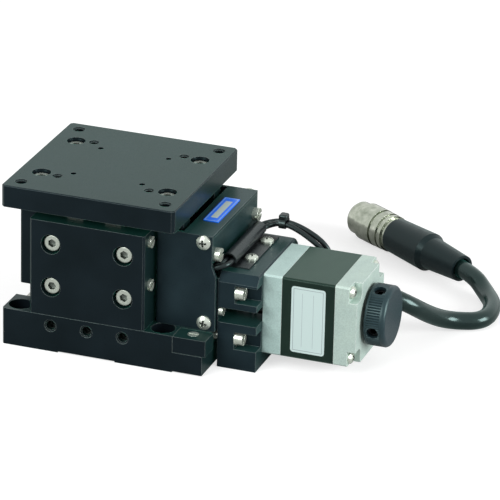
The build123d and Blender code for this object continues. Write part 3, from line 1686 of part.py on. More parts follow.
upper_lead_back = lead_row + lead_spread
upper_lead_x = clamp_roll_x - lead_spread
upper_lead_route = [
    (lead_start_x, -17.45, 33.5),
    (upper_lead_x, -17.45, clamp_roll_level),
    (upper_lead_x, upper_lead_back, clamp_roll_level),
    (lead_rise_x, upper_lead_back, lead_rise_level),
    (lead_turn_x, upper_lead_back, lead_turn_level + lead_parting_up),
    (lead_drop.X, upper_lead_back, lead_drop.Z),
    (sleeve_start.X, upper_lead_back, sleeve_start.Z),
]
lower_lead_back = lead_row - lead_spread
lower_lead_x = clamp_roll_x + lead_spread
lower_lead_route = [
    (lead_start_x, -19.4, 33.5),
    (lower_lead_x, -19.4, clamp_roll_level),
    (lower_lead_x, lower_lead_back, clamp_roll_level),
    (lead_rise_x, lower_lead_back, lead_rise_level),
    (lead_turn_x, lower_lead_back, lead_turn_level - lead_parting_down),
    (lead_drop.X, lower_lead_back, lead_drop.Z),
    (sleeve_start.X, lower_lead_back, sleeve_start.Z),
]

upper_lead_widest = (2.7, upper_lead_back - clamp_back)
lower_lead_widest = (3.5, lower_lead_back - clamp_back)

with BuildPart() as upper_lead:
    add(make_tube(upper_lead_route, lead_diameter, "upper_lead", upper_lead_widest))
upper_lead.part.label = "upper_lead"
export_step(upper_lead.part, "parts/upper_lead.step")

with BuildPart() as lower_lead:
    add(make_tube(lower_lead_route, lead_diameter, "lower_lead", lower_lead_widest))
lower_lead.part.label = "lower_lead"
export_step(lower_lead.part, "parts/lower_lead.step")

tie_x = clamp_flange_right + 0.5
tie_level = bracket_top + 4.35
tie_width = 2.2
with BuildPart() as cable_tie:
    with BuildSketch(Plane.YZ.offset(tie_x - tie_width / 2)):
        with Locations((lead_row, tie_level)):
            SlotOverall(4 * lead_spread + 1.5, 2 * lead_spread + 1.5)
            SlotOverall(4 * lead_spread + 0.3, 2 * lead_spread + 0.3, mode=Mode.SUBTRACT)
    extrude(amount=tie_width)
    with BuildSketch(Plane.XY.offset(tie_level + lead_spread + 0.5)):
        with Locations((tie_x, lead_row)):
            RectangleRounded(3.0, 3.4, 0.8)
    extrude(amount=1.7)
    fillet(cable_tie.faces().sort_by(Axis.Z)[-1].edges(), 0.7)
cable_tie.part.label = "cable_tie"
export_step(cable_tie.part, "parts/cable_tie.step")

with BuildPart() as lead_sleeve:
    with BuildSketch(Plane(origin=sleeve_start, z_dir=sleeve_along)):
        Circle(sleeve_diameter / 2)
    extrude(amount=(sleeve_end - sleeve_start).length)
    sleeve_middle = (sleeve_start + sleeve_end) / 2
    with BuildSketch(
        Plane(origin=(sleeve_middle.X, motor_side / 2, sleeve_middle.Z), z_dir=(0, 1, 0))
    ):
        Circle(sleeve_stub_diameter / 2)
    extrude(amount=lead_row - motor_side / 2)
lead_sleeve.part.label = "lead_sleeve"
export_step(lead_sleeve.part, "parts/lead_sleeve.step")

boot_mouth_x = 96.6
boot_mouth_y = 72.6
boot_mouth = Vector(boot_mouth_x, boot_mouth_y, boot_diameter / 2)
plug_along = Vector(-0.844, 0.536, 0).normalized()
plug_across = Vector(0, 0, 1)
mouth_depth = 3.0
cable_end = boot_mouth + plug_along * mouth_depth
cable_entry = boot_mouth - plug_along * 6.0

cable_first_turn = sleeve_end + sleeve_along * 11.7
main_cable_route = [
    (sleeve_end.X, sleeve_end.Y, sleeve_end.Z),
    (cable_first_turn.X, cable_first_turn.Y, cable_first_turn.Z),
    (98.9, 30.6, 6.9),
    (104.2, 37.6, 3.1),
    (114.3, 41.7, 3.05),
    (113.6, 55.0, 3.05),
    (107.6, 64.6, 3.15),
    (cable_entry.X, cable_entry.Y, cable_entry.Z),
    (cable_end.X, cable_end.Y, cable_end.Z),
]

with BuildPart() as main_cable:
    add(make_tube(main_cable_route, cable_diameter, "main_cable"))
main_cable.part.label = "main_cable"
export_step(main_cable.part, "parts/main_cable.step")

boot_step = 16.4
boot_length = 35.0
plug_length = 20.7
collar_length = 5.4
insert_depth = 5.0
connector_plane = Plane(origin=boot_mouth, x_dir=plug_along, z_dir=plug_along.cross(plug_across))
connector_axis = Axis(boot_mouth, plug_along)

with BuildPart() as connector_boot:
    with BuildSketch(connector_plane):
        with BuildLine():
            Polyline(
                (mouth_depth, 0),
                (mouth_depth, cable_diameter / 2 + 0.7),
                (0, cable_diameter / 2 + 0.7),
                (0, 4.6),
                (boot_step - 1.0, 5.7),
                (boot_step, boot_diameter / 2 - 0.5),
                (boot_step + 0.8, boot_diameter / 2 - 0.02),
                (boot_length, plug_diameter / 2),
                (boot_length, 0),
                close=True,
            )
        make_face()
    revolve(axis=connector_axis)
connector_boot.part.label = "connector_boot"
export_step(connector_boot.part, "parts/connector_boot.step")

plug_front = boot_length + plug_length
with BuildPart() as connector_shell:
    with BuildSketch(connector_plane):
        with BuildLine():
            Polyline(
                (boot_length, 0),
                (boot_length, 5.9),
                (boot_length + 1.6, 5.9),
                (boot_length + 1.6, 6.5),
                (boot_length + 3.2, 6.5),
                (boot_length + 3.2, 6.1),
                (boot_length + 4.0, 6.1),
                (boot_length + 4.0, 6.6),
                (boot_length + 7.0, 6.6),
                (boot_length + 7.0, 6.0),
                (boot_length + 7.9, 6.0),
                (boot_length + 7.9, 6.7),
                (plug_front - collar_length, 6.7),
                (plug_front - collar_length, 5.9),
                (plug_front - 1.0, 5.9),
                (plug_front, 5.2),
                (plug_front, 4.6),
                (plug_front - insert_depth - 4.0, 4.6),
                (plug_front - insert_depth - 4.0, 0),
                close=True,
            )
        make_face()
    revolve(axis=connector_axis)
connector_shell.part.label = "connector_shell"
export_step(connector_shell.part, "parts/connector_shell.step")

pin_diameter = 0.8
with BuildPart() as connector_insert:
    insert_base = boot_mouth + plug_along * (plug_front - insert_depth - 4.0)
    with BuildSketch(Plane(origin=insert_base, x_dir=plug_across, z_dir=plug_along)):
        Circle(4.58)
    extrude(amount=4.0)
    with BuildSketch(
        Plane(origin=insert_base + plug_along * 4.0, x_dir=plug_across, z_dir=plug_along)
    ):
        with PolarLocations(2.9, 8):
            Circle(pin_diameter / 2)
        with PolarLocations(1.1, 4):
            Circle(pin_diameter / 2)
    extrude(amount=3.4)
connector_insert.part.label = "connector_insert"
export_step(connector_insert.part, "parts/connector_insert.step")
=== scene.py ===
"""Dresses the motorised wedge stage: finishes, cords, screws, threads, camera, floor, light."""

from functools import cache
from math import atan2, cos, pi, radians, sin, sqrt

import bmesh
import bpy
from bpy.props import FloatProperty, FloatVectorProperty, IntProperty, PointerProperty
from bpy.types import Operator, Panel, PropertyGroup
from mathutils import Matrix, Vector


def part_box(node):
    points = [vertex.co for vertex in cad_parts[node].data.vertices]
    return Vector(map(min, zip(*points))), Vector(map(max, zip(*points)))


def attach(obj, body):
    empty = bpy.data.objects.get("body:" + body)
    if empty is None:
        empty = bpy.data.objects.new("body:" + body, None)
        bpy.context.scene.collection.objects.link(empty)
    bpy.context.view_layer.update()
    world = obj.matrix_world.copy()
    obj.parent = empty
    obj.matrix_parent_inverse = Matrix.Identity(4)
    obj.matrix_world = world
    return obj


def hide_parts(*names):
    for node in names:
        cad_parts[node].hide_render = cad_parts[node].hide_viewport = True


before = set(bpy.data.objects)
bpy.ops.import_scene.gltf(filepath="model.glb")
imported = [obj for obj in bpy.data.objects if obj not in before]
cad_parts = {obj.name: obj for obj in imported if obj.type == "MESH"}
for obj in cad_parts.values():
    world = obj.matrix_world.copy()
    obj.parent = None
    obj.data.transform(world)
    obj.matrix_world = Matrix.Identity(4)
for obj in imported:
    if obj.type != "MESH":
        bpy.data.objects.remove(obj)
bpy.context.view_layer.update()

bl_info = {
    "name": "Motorised Wedge Stage",
    "version": (1, 0, 0),
    "blender": (4, 5, 0),
    "location": "View3D > Sidebar > Stage",
    "description": "Finishes and fine pieces of a motorised vertical wedge stage",
    "category": "Object",
}

MM = 0.001

# sockets taken by place, because their node has several of the same name
MIX_FIRST, MIX_SECOND, MIX_RESULT = 6, 7, 2
CHANCE_MOST, CHANCE_VALUE = 3, 1

# dot product of the rounded and the true normal, below which a machined edge starts
EDGE_START = 0.985


# ------------------------------------------------------------------ small helpers


def linear(code):
    """sRGB hex to the linear colour that the shaders work in."""
    code = code.lstrip("#")
    channels = []
    for place in (0, 2, 4):
        value = int(code[place : place + 2], 16) / 255
        channels.append(value / 12.92 if value <= 0.04045 else ((value + 0.055) / 1.055) ** 2.4)
    return (*channels, 1.0)


def feed(tree, node, links):
    """Links a source to each of the node's inputs that are keys here."""
    for key, source in links.items():
        tree.links.new(source, node.inputs[key])


def put(tree, kind, settings=None, values=None, links=None):
    """Adds one node with its settings, its socket values and the sockets that feed it."""
    node = tree.nodes.new(kind)
    for key, value in (settings or {}).items():
        setattr(node, key, value)
    for key, value in (values or {}).items():
        node.inputs[key].default_value = value
    feed(tree, node, links or {})
    return node


def new_material(name, surface):
    """A material whose Principled sockets start from the given plain numbers."""
    material = bpy.data.materials.new(name)
    material.use_nodes = True
    tree = material.node_tree
    shader = tree.nodes["Principled BSDF"]
    for key, value in surface.items():
        shader.inputs[key].default_value = value
    return material, tree, shader


def object_space(tree, per_metre, stretch=(1, 1, 1)):
    """Object coordinates in which 1 / per_metre is one unit, times a stretch on each axis."""
    place = put(tree, "ShaderNodeTexCoord")
    return put(
        tree,
        "ShaderNodeMapping",
        values={"Scale": tuple(per_metre * share for share in stretch)},
        links={"Vector": place.outputs["Object"]},
    ).outputs["Vector"]


def uneven(tree, where, tones, window=(0, 1), detail=3.0, roughness=0.5):
    """A noise, and the colour that it mixes from two tones; the window is where they change."""
    noise = put(
        tree,
        "ShaderNodeTexNoise",
        values={"Scale": 1.0, "Detail": detail, "Roughness": roughness},
        links={"Vector": where},
    ).outputs["Fac"]
    share = put(
        tree,
        "ShaderNodeMapRange",
        values={"From Min": window[0], "From Max": window[1]},
        links={"Value": noise},
    )
    colour = put(
        tree,
        "ShaderNodeMix",
        {"data_type": "RGBA"},
        {MIX_FIRST: linear(tones[0]), MIX_SECOND: linear(tones[1])},
        {"Factor": share.outputs["Result"]},
    )
    return noise, colour.outputs[MIX_RESULT]


def worn_and_highlit_edges(tree, colour, radius, sharp, share, bare_and_highlight):
    """A share of a pale colour near machined edges, partly bare worn metal and partly a painted
    edge highlight, and the normal that rounds them.

    The rounded normal leaves the true one at an edge, and their dot product falls to sharp.
    """
    rounded = put(tree, "ShaderNodeBevel", {"samples": 4}, {"Radius": radius}).outputs["Normal"]
    true = put(tree, "ShaderNodeNewGeometry")
    dot = put(
        tree,
        "ShaderNodeVectorMath",
        {"operation": "DOT_PRODUCT"},
        links={0: rounded, 1: true.outputs["True Normal"]},
    )
    # the pale edge is partly real wear and partly a painted highlight along the edge
    wear_and_highlight = put(
        tree,
        "ShaderNodeMapRange",
        values={"From Min": EDGE_START, "From Max": sharp, "To Max": share},
        links={"Value": dot.outputs["Value"]},
    )
    worn_and_highlit = put(
        tree,
        "ShaderNodeMix",
        {"data_type": "RGBA"},
        {MIX_SECOND: linear(bare_and_highlight)},
        {"Factor": wear_and_highlight.outputs["Result"], MIX_FIRST: colour},
    )
    return worn_and_highlit.outputs[MIX_RESULT], rounded


def lay(tree, shader, colour, pattern, depth, strength, normal=None, gloss=None, window=(0, 1)):
    """Gives the shader its colour, the pattern's relief and a roughness that follows it."""
    relief = put(
        tree,
        "ShaderNodeBump",
        values={"Distance": depth, "Strength": strength},
        links={"Height": pattern},
    )
    if normal is not None:
        feed(tree, relief, {"Normal": normal})
    feed(tree, shader, {"Base Color": colour, "Normal": relief.outputs["Normal"]})
    if gloss is not None:
        low, high = window
        rough = put(
            tree,
            "ShaderNodeMapRange",
            values={"From Min": low, "From Max": high, "To Min": gloss[0], "To Max": gloss[1]},
            links={"Value": pattern},
        )
        feed(tree, shader, {"Roughness": rough.outputs["Result"]})


# ------------------------------------------------------------------ finishes


def make_black_anodise(name, tones, grain_depth):
    """Black anodised aluminium, blasted: near black, satin, a cool cast, and paler edges that are
    partly worn and partly a painted highlight.
    """
    material, tree, shader = new_material(
        name,
        {
            "Metallic": 0.0,
            "IOR": 1.5,
            "Specular IOR Level": 0.27,
            "Specular Tint": linear("#A8D4E0"),
            "Sheen Weight": 0.27,
            "Sheen Roughness": 0.3,
            "Sheen Tint": linear("#58F6D2"),
        },
    )
    # blasting leaves a grain of about 0.05 mm, drawn at 0.36 mm so that it can show
    grain = put(
        tree,
        "ShaderNodeTexNoise",
        values={"Scale": 1.0, "Detail": 3.0, "Roughness": 0.6},
        links={"Vector": object_space(tree, 2800)},
    )
    # the dye takes a little unevenly, over about 15 mm
    _, colour = uneven(tree, object_space(tree, 65), tones, (0.3, 0.7), detail=2.0)
    # edges paler in #8A9592: partly worn anodise, partly a painted edge highlight
    colour, rounded = worn_and_highlit_edges(tree, colour, 0.22 * MM, 0.80, 0.7, "#8A9592")
    lay(
        tree, shader, colour, grain.outputs["Fac"], grain_depth * MM, 0.5, rounded,
        gloss=(0.26, 0.38), window=(0.3, 0.7),
    )
    return material


def make_metal(name, bright, dark, roughness, per_metre, stretch=(1, 1, 1), depth=0.008,
               metallic=1.0):
    """Bare or plated metal: its grain is drawn out by the stretch, and depth is in mm.

    Turned, ground and plated grain is finer than 0.1 mm, and is drawn at 1 / per_metre, which
    is 0.2 to 0.4 mm, so that it can show. On the plug shell the light and dark patches are
    2 to 3 mm across, and are painted reflections.
    """
    material, tree, shader = new_material(name, {"Metallic": metallic})
    where = object_space(tree, per_metre, stretch)
    grain, colour = uneven(tree, where, (dark, bright), roughness=0.55)
    rounded = put(tree, "ShaderNodeBevel", {"samples": 4}, {"Radius": 0.12 * MM})
    lay(
        tree, shader, colour, grain, depth * MM, 0.6, rounded.outputs["Normal"],
        gloss=(roughness * 0.8, roughness * 1.3),
    )
    return material


def make_die_cast(name, tones):
    """Aluminium die casting, bead blasted: pale grey, a faint green cast, a matt sparkle."""
    material, tree, shader = new_material(name, {"Metallic": 0.25, "Roughness": 0.42})
    # the cast skin changes tone over about 6 mm
    _, colour = uneven(tree, object_space(tree, 180), tones, (0.3, 0.7), detail=2.0)
    # bead marks of about 0.1 mm, drawn at 0.4 mm so that they can show
    marks, speckle = uneven(
        tree, object_space(tree, 2600), ("#8B9D98", "#C6DCD6"), (0.35, 0.6), 4.0, 0.7
    )
    speckled = put(
        tree,
        "ShaderNodeMix",
        {"data_type": "RGBA"},
        {"Factor": 0.3},
        {MIX_FIRST: colour, MIX_SECOND: speckle},
    )
    # edges near white in #F0F6F2: partly worn casting, partly a painted edge highlight
    colour, rounded = worn_and_highlit_edges(
        tree, speckled.outputs[MIX_RESULT], 0.25 * MM, 0.80, 0.9, "#F0F6F2"
    )
    lay(tree, shader, colour, marks, 0.02 * MM, 0.6, rounded)
    return material


def make_lamination_lacquer():
    """Punched steel laminations under dark lacquer: brown-black, satin, with fine lines."""
    material, tree, shader = new_material(
        "Lacquered steel laminations",
        {
            "Metallic": 0.0,
            "Roughness": 0.34,
            "Specular IOR Level": 0.4,
            "Specular Tint": linear("#B4F0DC"),
            "Sheen Weight": 0.17,
            "Sheen Roughness": 0.38,
            "Sheen Tint": linear("#6CF4C8"),
        },
    )
    # sheets 0.5 mm thick are stacked along the shaft, and a wave repeats each pi / 10
    per_sheet = pi / 10 / (0.5 * MM)
    lines = put(
        tree,
        "ShaderNodeTexWave",
        {"wave_type": "BANDS", "bands_direction": "X", "wave_profile": "SIN"},
        {"Scale": 1.0, "Distortion": 0.4, "Detail": 1.0},
        {"Vector": object_space(tree, 1, (per_sheet, 400, 400))},
    )
    # the lacquer runs a little, over about 4 mm along the shaft and 8 mm round it
    where = object_space(tree, 1, (260, 120, 120))
    _, colour = uneven(tree, where, ("#0D1411", "#161F1A"), (0.3, 0.7))
    # edges paler in #667067: partly worn lacquer, partly a painted edge highlight
    colour, rounded = worn_and_highlit_edges(tree, colour, 0.4 * MM, 0.78, 0.6, "#667067")
    lay(tree, shader, colour, lines.outputs["Fac"], 0.03 * MM, 0.35, rounded)
    return material


def make_moulding(name, tones, roughness, per_metre, depth=0.01, specular=0.5, sheen=0.0):
    """Moulded or extruded plastic: one deep colour, a slight orange peel and an uneven gloss.

    The peel is 1 / per_metre from crest to crest, which is 0.5 to 1.1 mm, and depth is in mm.
    """
    material, tree, shader = new_material(
        name,
        {
            "Metallic": 0.0,
            "Specular IOR Level": specular,
            "Specular Tint": linear("#CDEFEC"),
            "Sheen Weight": sheen,
            "Sheen Roughness": 0.4,
            "Sheen Tint": linear("#7CEEDC"),
        },
    )
    peel, colour = uneven(tree, object_space(tree, per_metre), tones)
    lay(
        tree, shader, colour, peel, depth * MM, 0.7,
        gloss=(roughness * 0.85, roughness * 1.25), window=(0.3, 0.7),
    )
    return material


def field_mask(tree, sides, middle, half, line):
    """1 on a rectangle's outline of that width, or on the whole of it where the width is 0."""
    reach = {}
    for place, (side, centre, size) in enumerate(zip(sides, middle, half)):
        away = put(tree, "ShaderNodeMath", {"operation": "SUBTRACT"}, {1: centre}, {0: side})
        away = put(tree, "ShaderNodeMath", {"operation": "ABSOLUTE"}, links={0: away.outputs[0]})
        away = put(
            tree, "ShaderNodeMath", {"operation": "SUBTRACT"}, {1: size}, {0: away.outputs[0]}
        )
        reach[place] = away.outputs[0]
    past = put(tree, "ShaderNodeMath", {"operation": "MAXIMUM"}, links=reach)
    if line:
        past = put(tree, "ShaderNodeMath", {"operation": "ABSOLUTE"}, links={0: past.outputs[0]})
    return put(
        tree, "ShaderNodeMath", {"operation": "LESS_THAN"}, {1: line / 2}, {0: past.outputs[0]}
    ).outputs[0]


def make_printed_film(name, code, axes, fields):
    """Printed film or plate: a gloss face with plain fields and outlines, given in mm."""
    material, tree, shader = new_material(
        name, {"Metallic": 0.0, "Roughness": 0.28, "Coat Weight": 0.2, "Coat Roughness": 0.15}
    )
    place = put(tree, "ShaderNodeSeparateXYZ", links={"Vector": object_space(tree, 1 / MM)})
    sides = [place.outputs[axis] for axis in axes]
    # the glued face lies uneven over about 1.4 mm
    mottle = put(
        tree,
        "ShaderNodeTexNoise",
        values={"Scale": 1.0, "Detail": 2.0},
        links={"Vector": object_space(tree, 700)},
    )
    colour = None
    for middle, half, line, ink in fields:
        printed = put(
            tree,
            "ShaderNodeMix",
            {"data_type": "RGBA"},
            {MIX_FIRST: linear(code), MIX_SECOND: linear(ink)},
            {"Factor": field_mask(tree, sides, middle, half, line)},
        )
        if colour is not None:
            feed(tree, printed, {MIX_FIRST: colour})
        colour = printed.outputs[MIX_RESULT]
    lay(tree, shader, colour, mottle.outputs["Fac"], 0.006 * MM, 0.4)
    return material


FINISHES = {
    # fine blasting before the dye: an even near black
    "anodise": lambda: make_black_anodise(
        "Black anodised aluminium, fine blasted", ("#080C10", "#0F151A"), 0.012
    ),
    # cover, housing and bracket are blasted coarser, which leaves them greyer
    "coarse_anodise": lambda: make_black_anodise(
        "Black anodised aluminium, coarse blasted", ("#10191E", "#1D292E"), 0.03
    ),
    # tool steel, surface ground along the travel: bright, with lines drawn 0.17 mm apart
    "ground": lambda: make_metal(
        "Tool steel, surface ground", "#B9B8B2", "#8E8D88", 0.26, 6000, (0.08, 1, 1)
    ),
    # hardened and polished: the brightest steel
    "roller": lambda: make_metal("Bearing steel, polished", "#CFCFCB", "#B2B2AE", 0.12, 3000),
    # barrel plated nickel over steel: greenish white, dulled by tumbling, slightly uneven
    "nickel": lambda: make_metal(
        "Steel screw, nickel plated", "#DDE4D9", "#AFB9AC", 0.24, 2400, depth=0.012,
        metallic=0.72,
    ),
    # machined and nickel plated over brass: bright, with light and dark patches of 2 to 3 mm
    # painted in as reflections
    "shell": lambda: make_metal(
        "Brass shell, nickel plated", "#DDE2D4", "#66725F", 0.16, 430, depth=0.002
    ),
    # pressed recesses, painted dark and matt as the shade that falls in them
    "recess": lambda: make_metal("Steel recess, painted shade", "#969E97", "#565D58", 0.42, 3000),
    # cut threads under the dye: a metallic glint on their crests
    "thread": lambda: make_metal("Aluminium thread, anodised", "#3C4442", "#161A19", 0.3, 3000),
    # black oxide on alloy steel: dark grey, a soft sheen
    "black_screw": lambda: make_metal("Alloy steel, black oxide", "#2A2C2E", "#1A1B1D", 0.34, 2600),
    # turned bronze: warm yellow brown, satin
    "bronze": lambda: make_metal("Phosphor bronze, turned", "#B08A54", "#8C6A3C", 0.32, 2500),
    # turned aluminium, not dyed: a cool light grey
    "bright_aluminium": lambda: make_metal("Aluminium, turned", "#CDCECF", "#ACADAE", 0.3, 3000),
    # the flange is a little cooler than the cap, which comes from another casting
    "flange_cast": lambda: make_die_cast(
        "Die-cast aluminium, bead blasted", ("#A0BDB8", "#B0CCC7")
    ),
    "cap_cast": lambda: make_die_cast("Die-cast aluminium, tumbled", ("#A9BDB5", "#B6CABF")),
    "lacquer": make_lamination_lacquer,
    # soft vinyl: black with long soft glints, waved over about 1 mm
    "vinyl": lambda: make_moulding(
        "Soft vinyl, extruded", ("#0A1413", "#12201E"), 0.2, 900, 0.02, 0.6, 0.12
    ),
    # harder and thinner vinyl, a duller black
    "lead_vinyl": lambda: make_moulding("Vinyl lead, extruded", ("#0B0C0E", "#15171A"), 0.3, 1500),
    # nylon from a spark eroded mould: matt, finely pitted
    "boot": lambda: make_moulding(
        "Nylon boot, moulded", ("#080F12", "#0D171B"), 0.34, 1100, 0.025, 0.36, 0.06
    ),
    # nylon from a polished mould: black with a clear gloss
    "nylon": lambda: make_moulding(
        "Nylon tie, moulded", ("#0B0C0D", "#1A1C1D"), 0.3, 1600, specular=0.6
    ),
    # baked paint on sheet steel: black, smooth, half gloss
    "black_sheet": lambda: make_moulding(
        "Sheet steel, black painted", ("#101214", "#1A1D20"), 0.3, 1400, 0.012, 0.6
    ),
    # green solder mask over glass epoxy, satin
    "board": lambda: make_moulding(
        "Glass epoxy board, solder mask", ("#0E3A22", "#14492C"), 0.35, 2000
    ),
    # black polycarbonate, satin
    "sensor": lambda: make_moulding("Polycarbonate, moulded", ("#0A0A0B", "#141416"), 0.3, 2000),
    # dark dye over a knurled rim: bluer and greyer than the blocks
    "knob": lambda: make_moulding(
        "Dark anodised aluminium, knurled", ("#142025", "#22343A"), 0.34, 1800
    ),
}


@cache
def finish(name):
    """One shared material for each finish, made the first time that it is asked for."""
    return FINISHES[name]()


# ------------------------------------------------------------------ pieces


def new_piece(name, data, body):
    """Links a finished piece, which rides on its body."""
    piece = bpy.data.objects.new(name, data)
    bpy.context.scene.collection.objects.link(piece)
    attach(piece, body)
    return piece


def dress(nodes, material):
    """Gives carried nodes their material."""
    for node in nodes:
        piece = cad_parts[node]
        piece.data.materials.clear()
        piece.data.materials.append(material)


def solid_boxes(node):
    """Low and high corner of each separate solid in a carried node, in metres."""
    work = bmesh.new()
    work.from_mesh(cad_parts[node].data)
    bmesh.ops.remove_doubles(work, verts=work.verts, dist=1e-6)
    # a dict keeps the order of the vertices, so each run seats the screws in the same order
    unseen = dict.fromkeys(work.verts)
    boxes = []
    while unseen:
        todo = [unseen.popitem()[0]]
        places = []
        while todo:
            vert = todo.pop()
            places.append(vert.co.copy())
            for edge in vert.link_edges:
                other = edge.other_vert(vert)
                if other in unseen:
                    del unseen[other]
                    todo.append(other)
        low = Vector([min(place[axis] for place in places) for axis in range(3)])
        high = Vector([max(place[axis] for place in places) for axis in range(3)])
        boxes.append((low, high))
    work.free()
    return boxes


# a screw's sides, and its shape in shares of a size that the comment names
SCREW_STEPS = 48
CROSS_ARM = 0.26  # half width of a cross recess's arm, of its length
CROSS_DOME = 0.55  # rise of a cross head's dome, of the head's height
CROSS_TAPER, HEXAGON_TAPER = 0.7, 0.97  # recess floor, of its mouth
HEXAGON_CHAMFER = 0.045  # edge of a hexagon head, of its diameter
CREST, ROOT, TIP = 0.5, 0.42, 0.38  # radii of the thread, of its diameter
HALF_TURN, FULL_TURN = 0.08, 0.16  # heights along the thread, of its diameter
PLAIN_TIP, PLAIN_SHANK = 0.12, 0.3  # lengths without a thread, of its diameter
EASE = 0.02  # broken edges, of the head's diameter


def recess_radius(kind, size, angle):
    """Distance from the axis to the recess wall, which is size at a corner or an arm's end."""
    if kind == "hexagon":
        return size * cos(pi / 6) / cos(angle % (pi / 3) - pi / 6)
    half_width = size * CROSS_ARM
    turn = angle % (pi / 2)
    turn = min(turn, pi / 2 - turn)
    if turn <= atan2(half_width, size):
        return size / cos(turn)
    return half_width / sin(turn)


def thread_rings(thread, length):
    """Radius and height of each ring of a thread, from the tip up to the seat."""
    rings = [(thread * TIP, -length)]
    depth = length - thread * PLAIN_TIP
    while depth > thread * PLAIN_SHANK:
        rings.append((thread * CREST, -depth))
        rings.append((thread * ROOT, thread * HALF_TURN - depth))
        depth -= thread * FULL_TURN
    # a ring close under the seat keeps its corner crisp
    return rings + [(thread * CREST, -thread * 0.1), (thread * CREST, 0.0)]


def screw_mesh(kind, head, head_height, thread, length, recess, recess_depth):
    """Screw along +Z, its seat at z = 0, with a domed or flat head, a recess and thread crests."""
    cross = kind == "cross"
    corners = [atan2(CROSS_ARM, 1.0), atan2(1.0, CROSS_ARM)] if cross else []
    turns = [2 * pi * step / SCREW_STEPS for step in range(SCREW_STEPS)]
    turns += [quarter * pi / 2 + corner for corner in corners for quarter in range(4)]
    turns = sorted(set(round(turn, 6) for turn in turns))
    rise = head_height * CROSS_DOME if cross else 0.0
    dome = (head**2 / 4 + rise**2) / (2 * rise) if cross else 0.0
    chamfer = 0.0 if cross else head * HEXAGON_CHAMFER
    edge = head / 2

    def crown(radius):
        return head_height - (dome - sqrt(max(dome**2 - radius**2, 0.0)) if cross else 0.0)

    rings = thread_rings(thread, length)
    rings += [
        (edge - head * EASE, 0.0),
        (edge, head * EASE),
        (edge, crown(edge) - chamfer),
    ]
    if chamfer:
        rings.append((edge - chamfer * 0.3, head_height - chamfer * 0.3))
        rings.append((edge - chamfer, head_height))
    layers = [[ring] * len(turns) for ring in rings]
    mouths = [recess_radius(kind, recess, turn) for turn in turns]
    for share in (0.7, 0.4, 0.15, 0.0):
        radii = [mouth + (edge - chamfer - mouth) * share for mouth in mouths]
        layers.append([(radius, crown(radius)) for radius in radii])
    outside = len(layers)
    floor = head_height - recess_depth
    taper = CROSS_TAPER if cross else HEXAGON_TAPER
    layers.append([(mouth * (1 - EASE), crown(mouth) - head * EASE) for mouth in mouths])
    layers.append([(mouth * taper, floor) for mouth in mouths])

    work = bmesh.new()
    layers = [
        [
            work.verts.new((radius * cos(turn), radius * sin(turn), height))
            for turn, (radius, height) in zip(turns, layer)
        ]
        for layer in layers
    ]
    for level, (first, second) in enumerate(zip(layers, layers[1:])):
        for step in range(len(turns)):
            after = (step + 1) % len(turns)
            face = work.faces.new((first[step], first[after], second[after], second[step]))
            face.material_index = int(level >= outside - 1)
    for layer, height, index in ((layers[0], -length, 0), (layers[-1], floor - head * 0.05, 1)):
        centre = work.verts.new((0, 0, height))
        for step in range(len(turns)):
            after = (step + 1) % len(turns)
            face = work.faces.new((layer[step], layer[after], centre))
            face.material_index = index
    bmesh.ops.recalc_face_normals(work, faces=work.faces)
    mesh = bpy.data.meshes.new("Screw")
    work.to_mesh(mesh)
    work.free()
    lined = mesh.attributes.new("in_recess", "BOOLEAN", "FACE")
    for face in mesh.polygons:
        lined.data[face.index].value = face.material_index == 1
        face.material_index = 0
    return mesh


def tree_sockets(name, sockets):
    """An empty Geometry Nodes tree with a geometry input and output and the named inputs."""
    tree = bpy.data.node_groups.new(name, "GeometryNodeTree")
    tree.interface.new_socket("Geometry", in_out="INPUT", socket_type="NodeSocketGeometry")
    tree.interface.new_socket("Geometry", in_out="OUTPUT", socket_type="NodeSocketGeometry")
    for label, kind in sockets:
        tree.interface.new_socket(label, in_out="INPUT", socket_type=kind)
    return tree, put(tree, "NodeGroupInput"), put(tree, "NodeGroupOutput")


def outward_turn(tree, seed=None):
    """Rotation that lays Z along each point's outward attribute; a seed adds a chance turn."""
    outward = put(
        tree, "GeometryNodeInputNamedAttribute", {"data_type": "FLOAT_VECTOR"}, {"Name": "outward"}
    )
    laid = put(
        tree,
        "FunctionNodeAlignRotationToVector",
        {"axis": "Z"},
        links={"Vector": outward.outputs["Attribute"]},
    )
    if seed is None:
        return laid.outputs["Rotation"]
    chance = put(
        tree, "FunctionNodeRandomValue", {"data_type": "FLOAT"}, {CHANCE_MOST: 2 * pi},
        {"Seed": seed},
    )
    twist = put(
        tree, "FunctionNodeAxisAngleToRotation", values={"Axis": (0, 0, 1)},
        links={"Angle": chance.outputs[CHANCE_VALUE]},
    )
    return put(
        tree,
        "FunctionNodeRotateRotation",
        {"rotation_space": "LOCAL"},
        links={"Rotation": laid.outputs["Rotation"], "Rotate By": twist.outputs["Rotation"]},
    ).outputs["Rotation"]


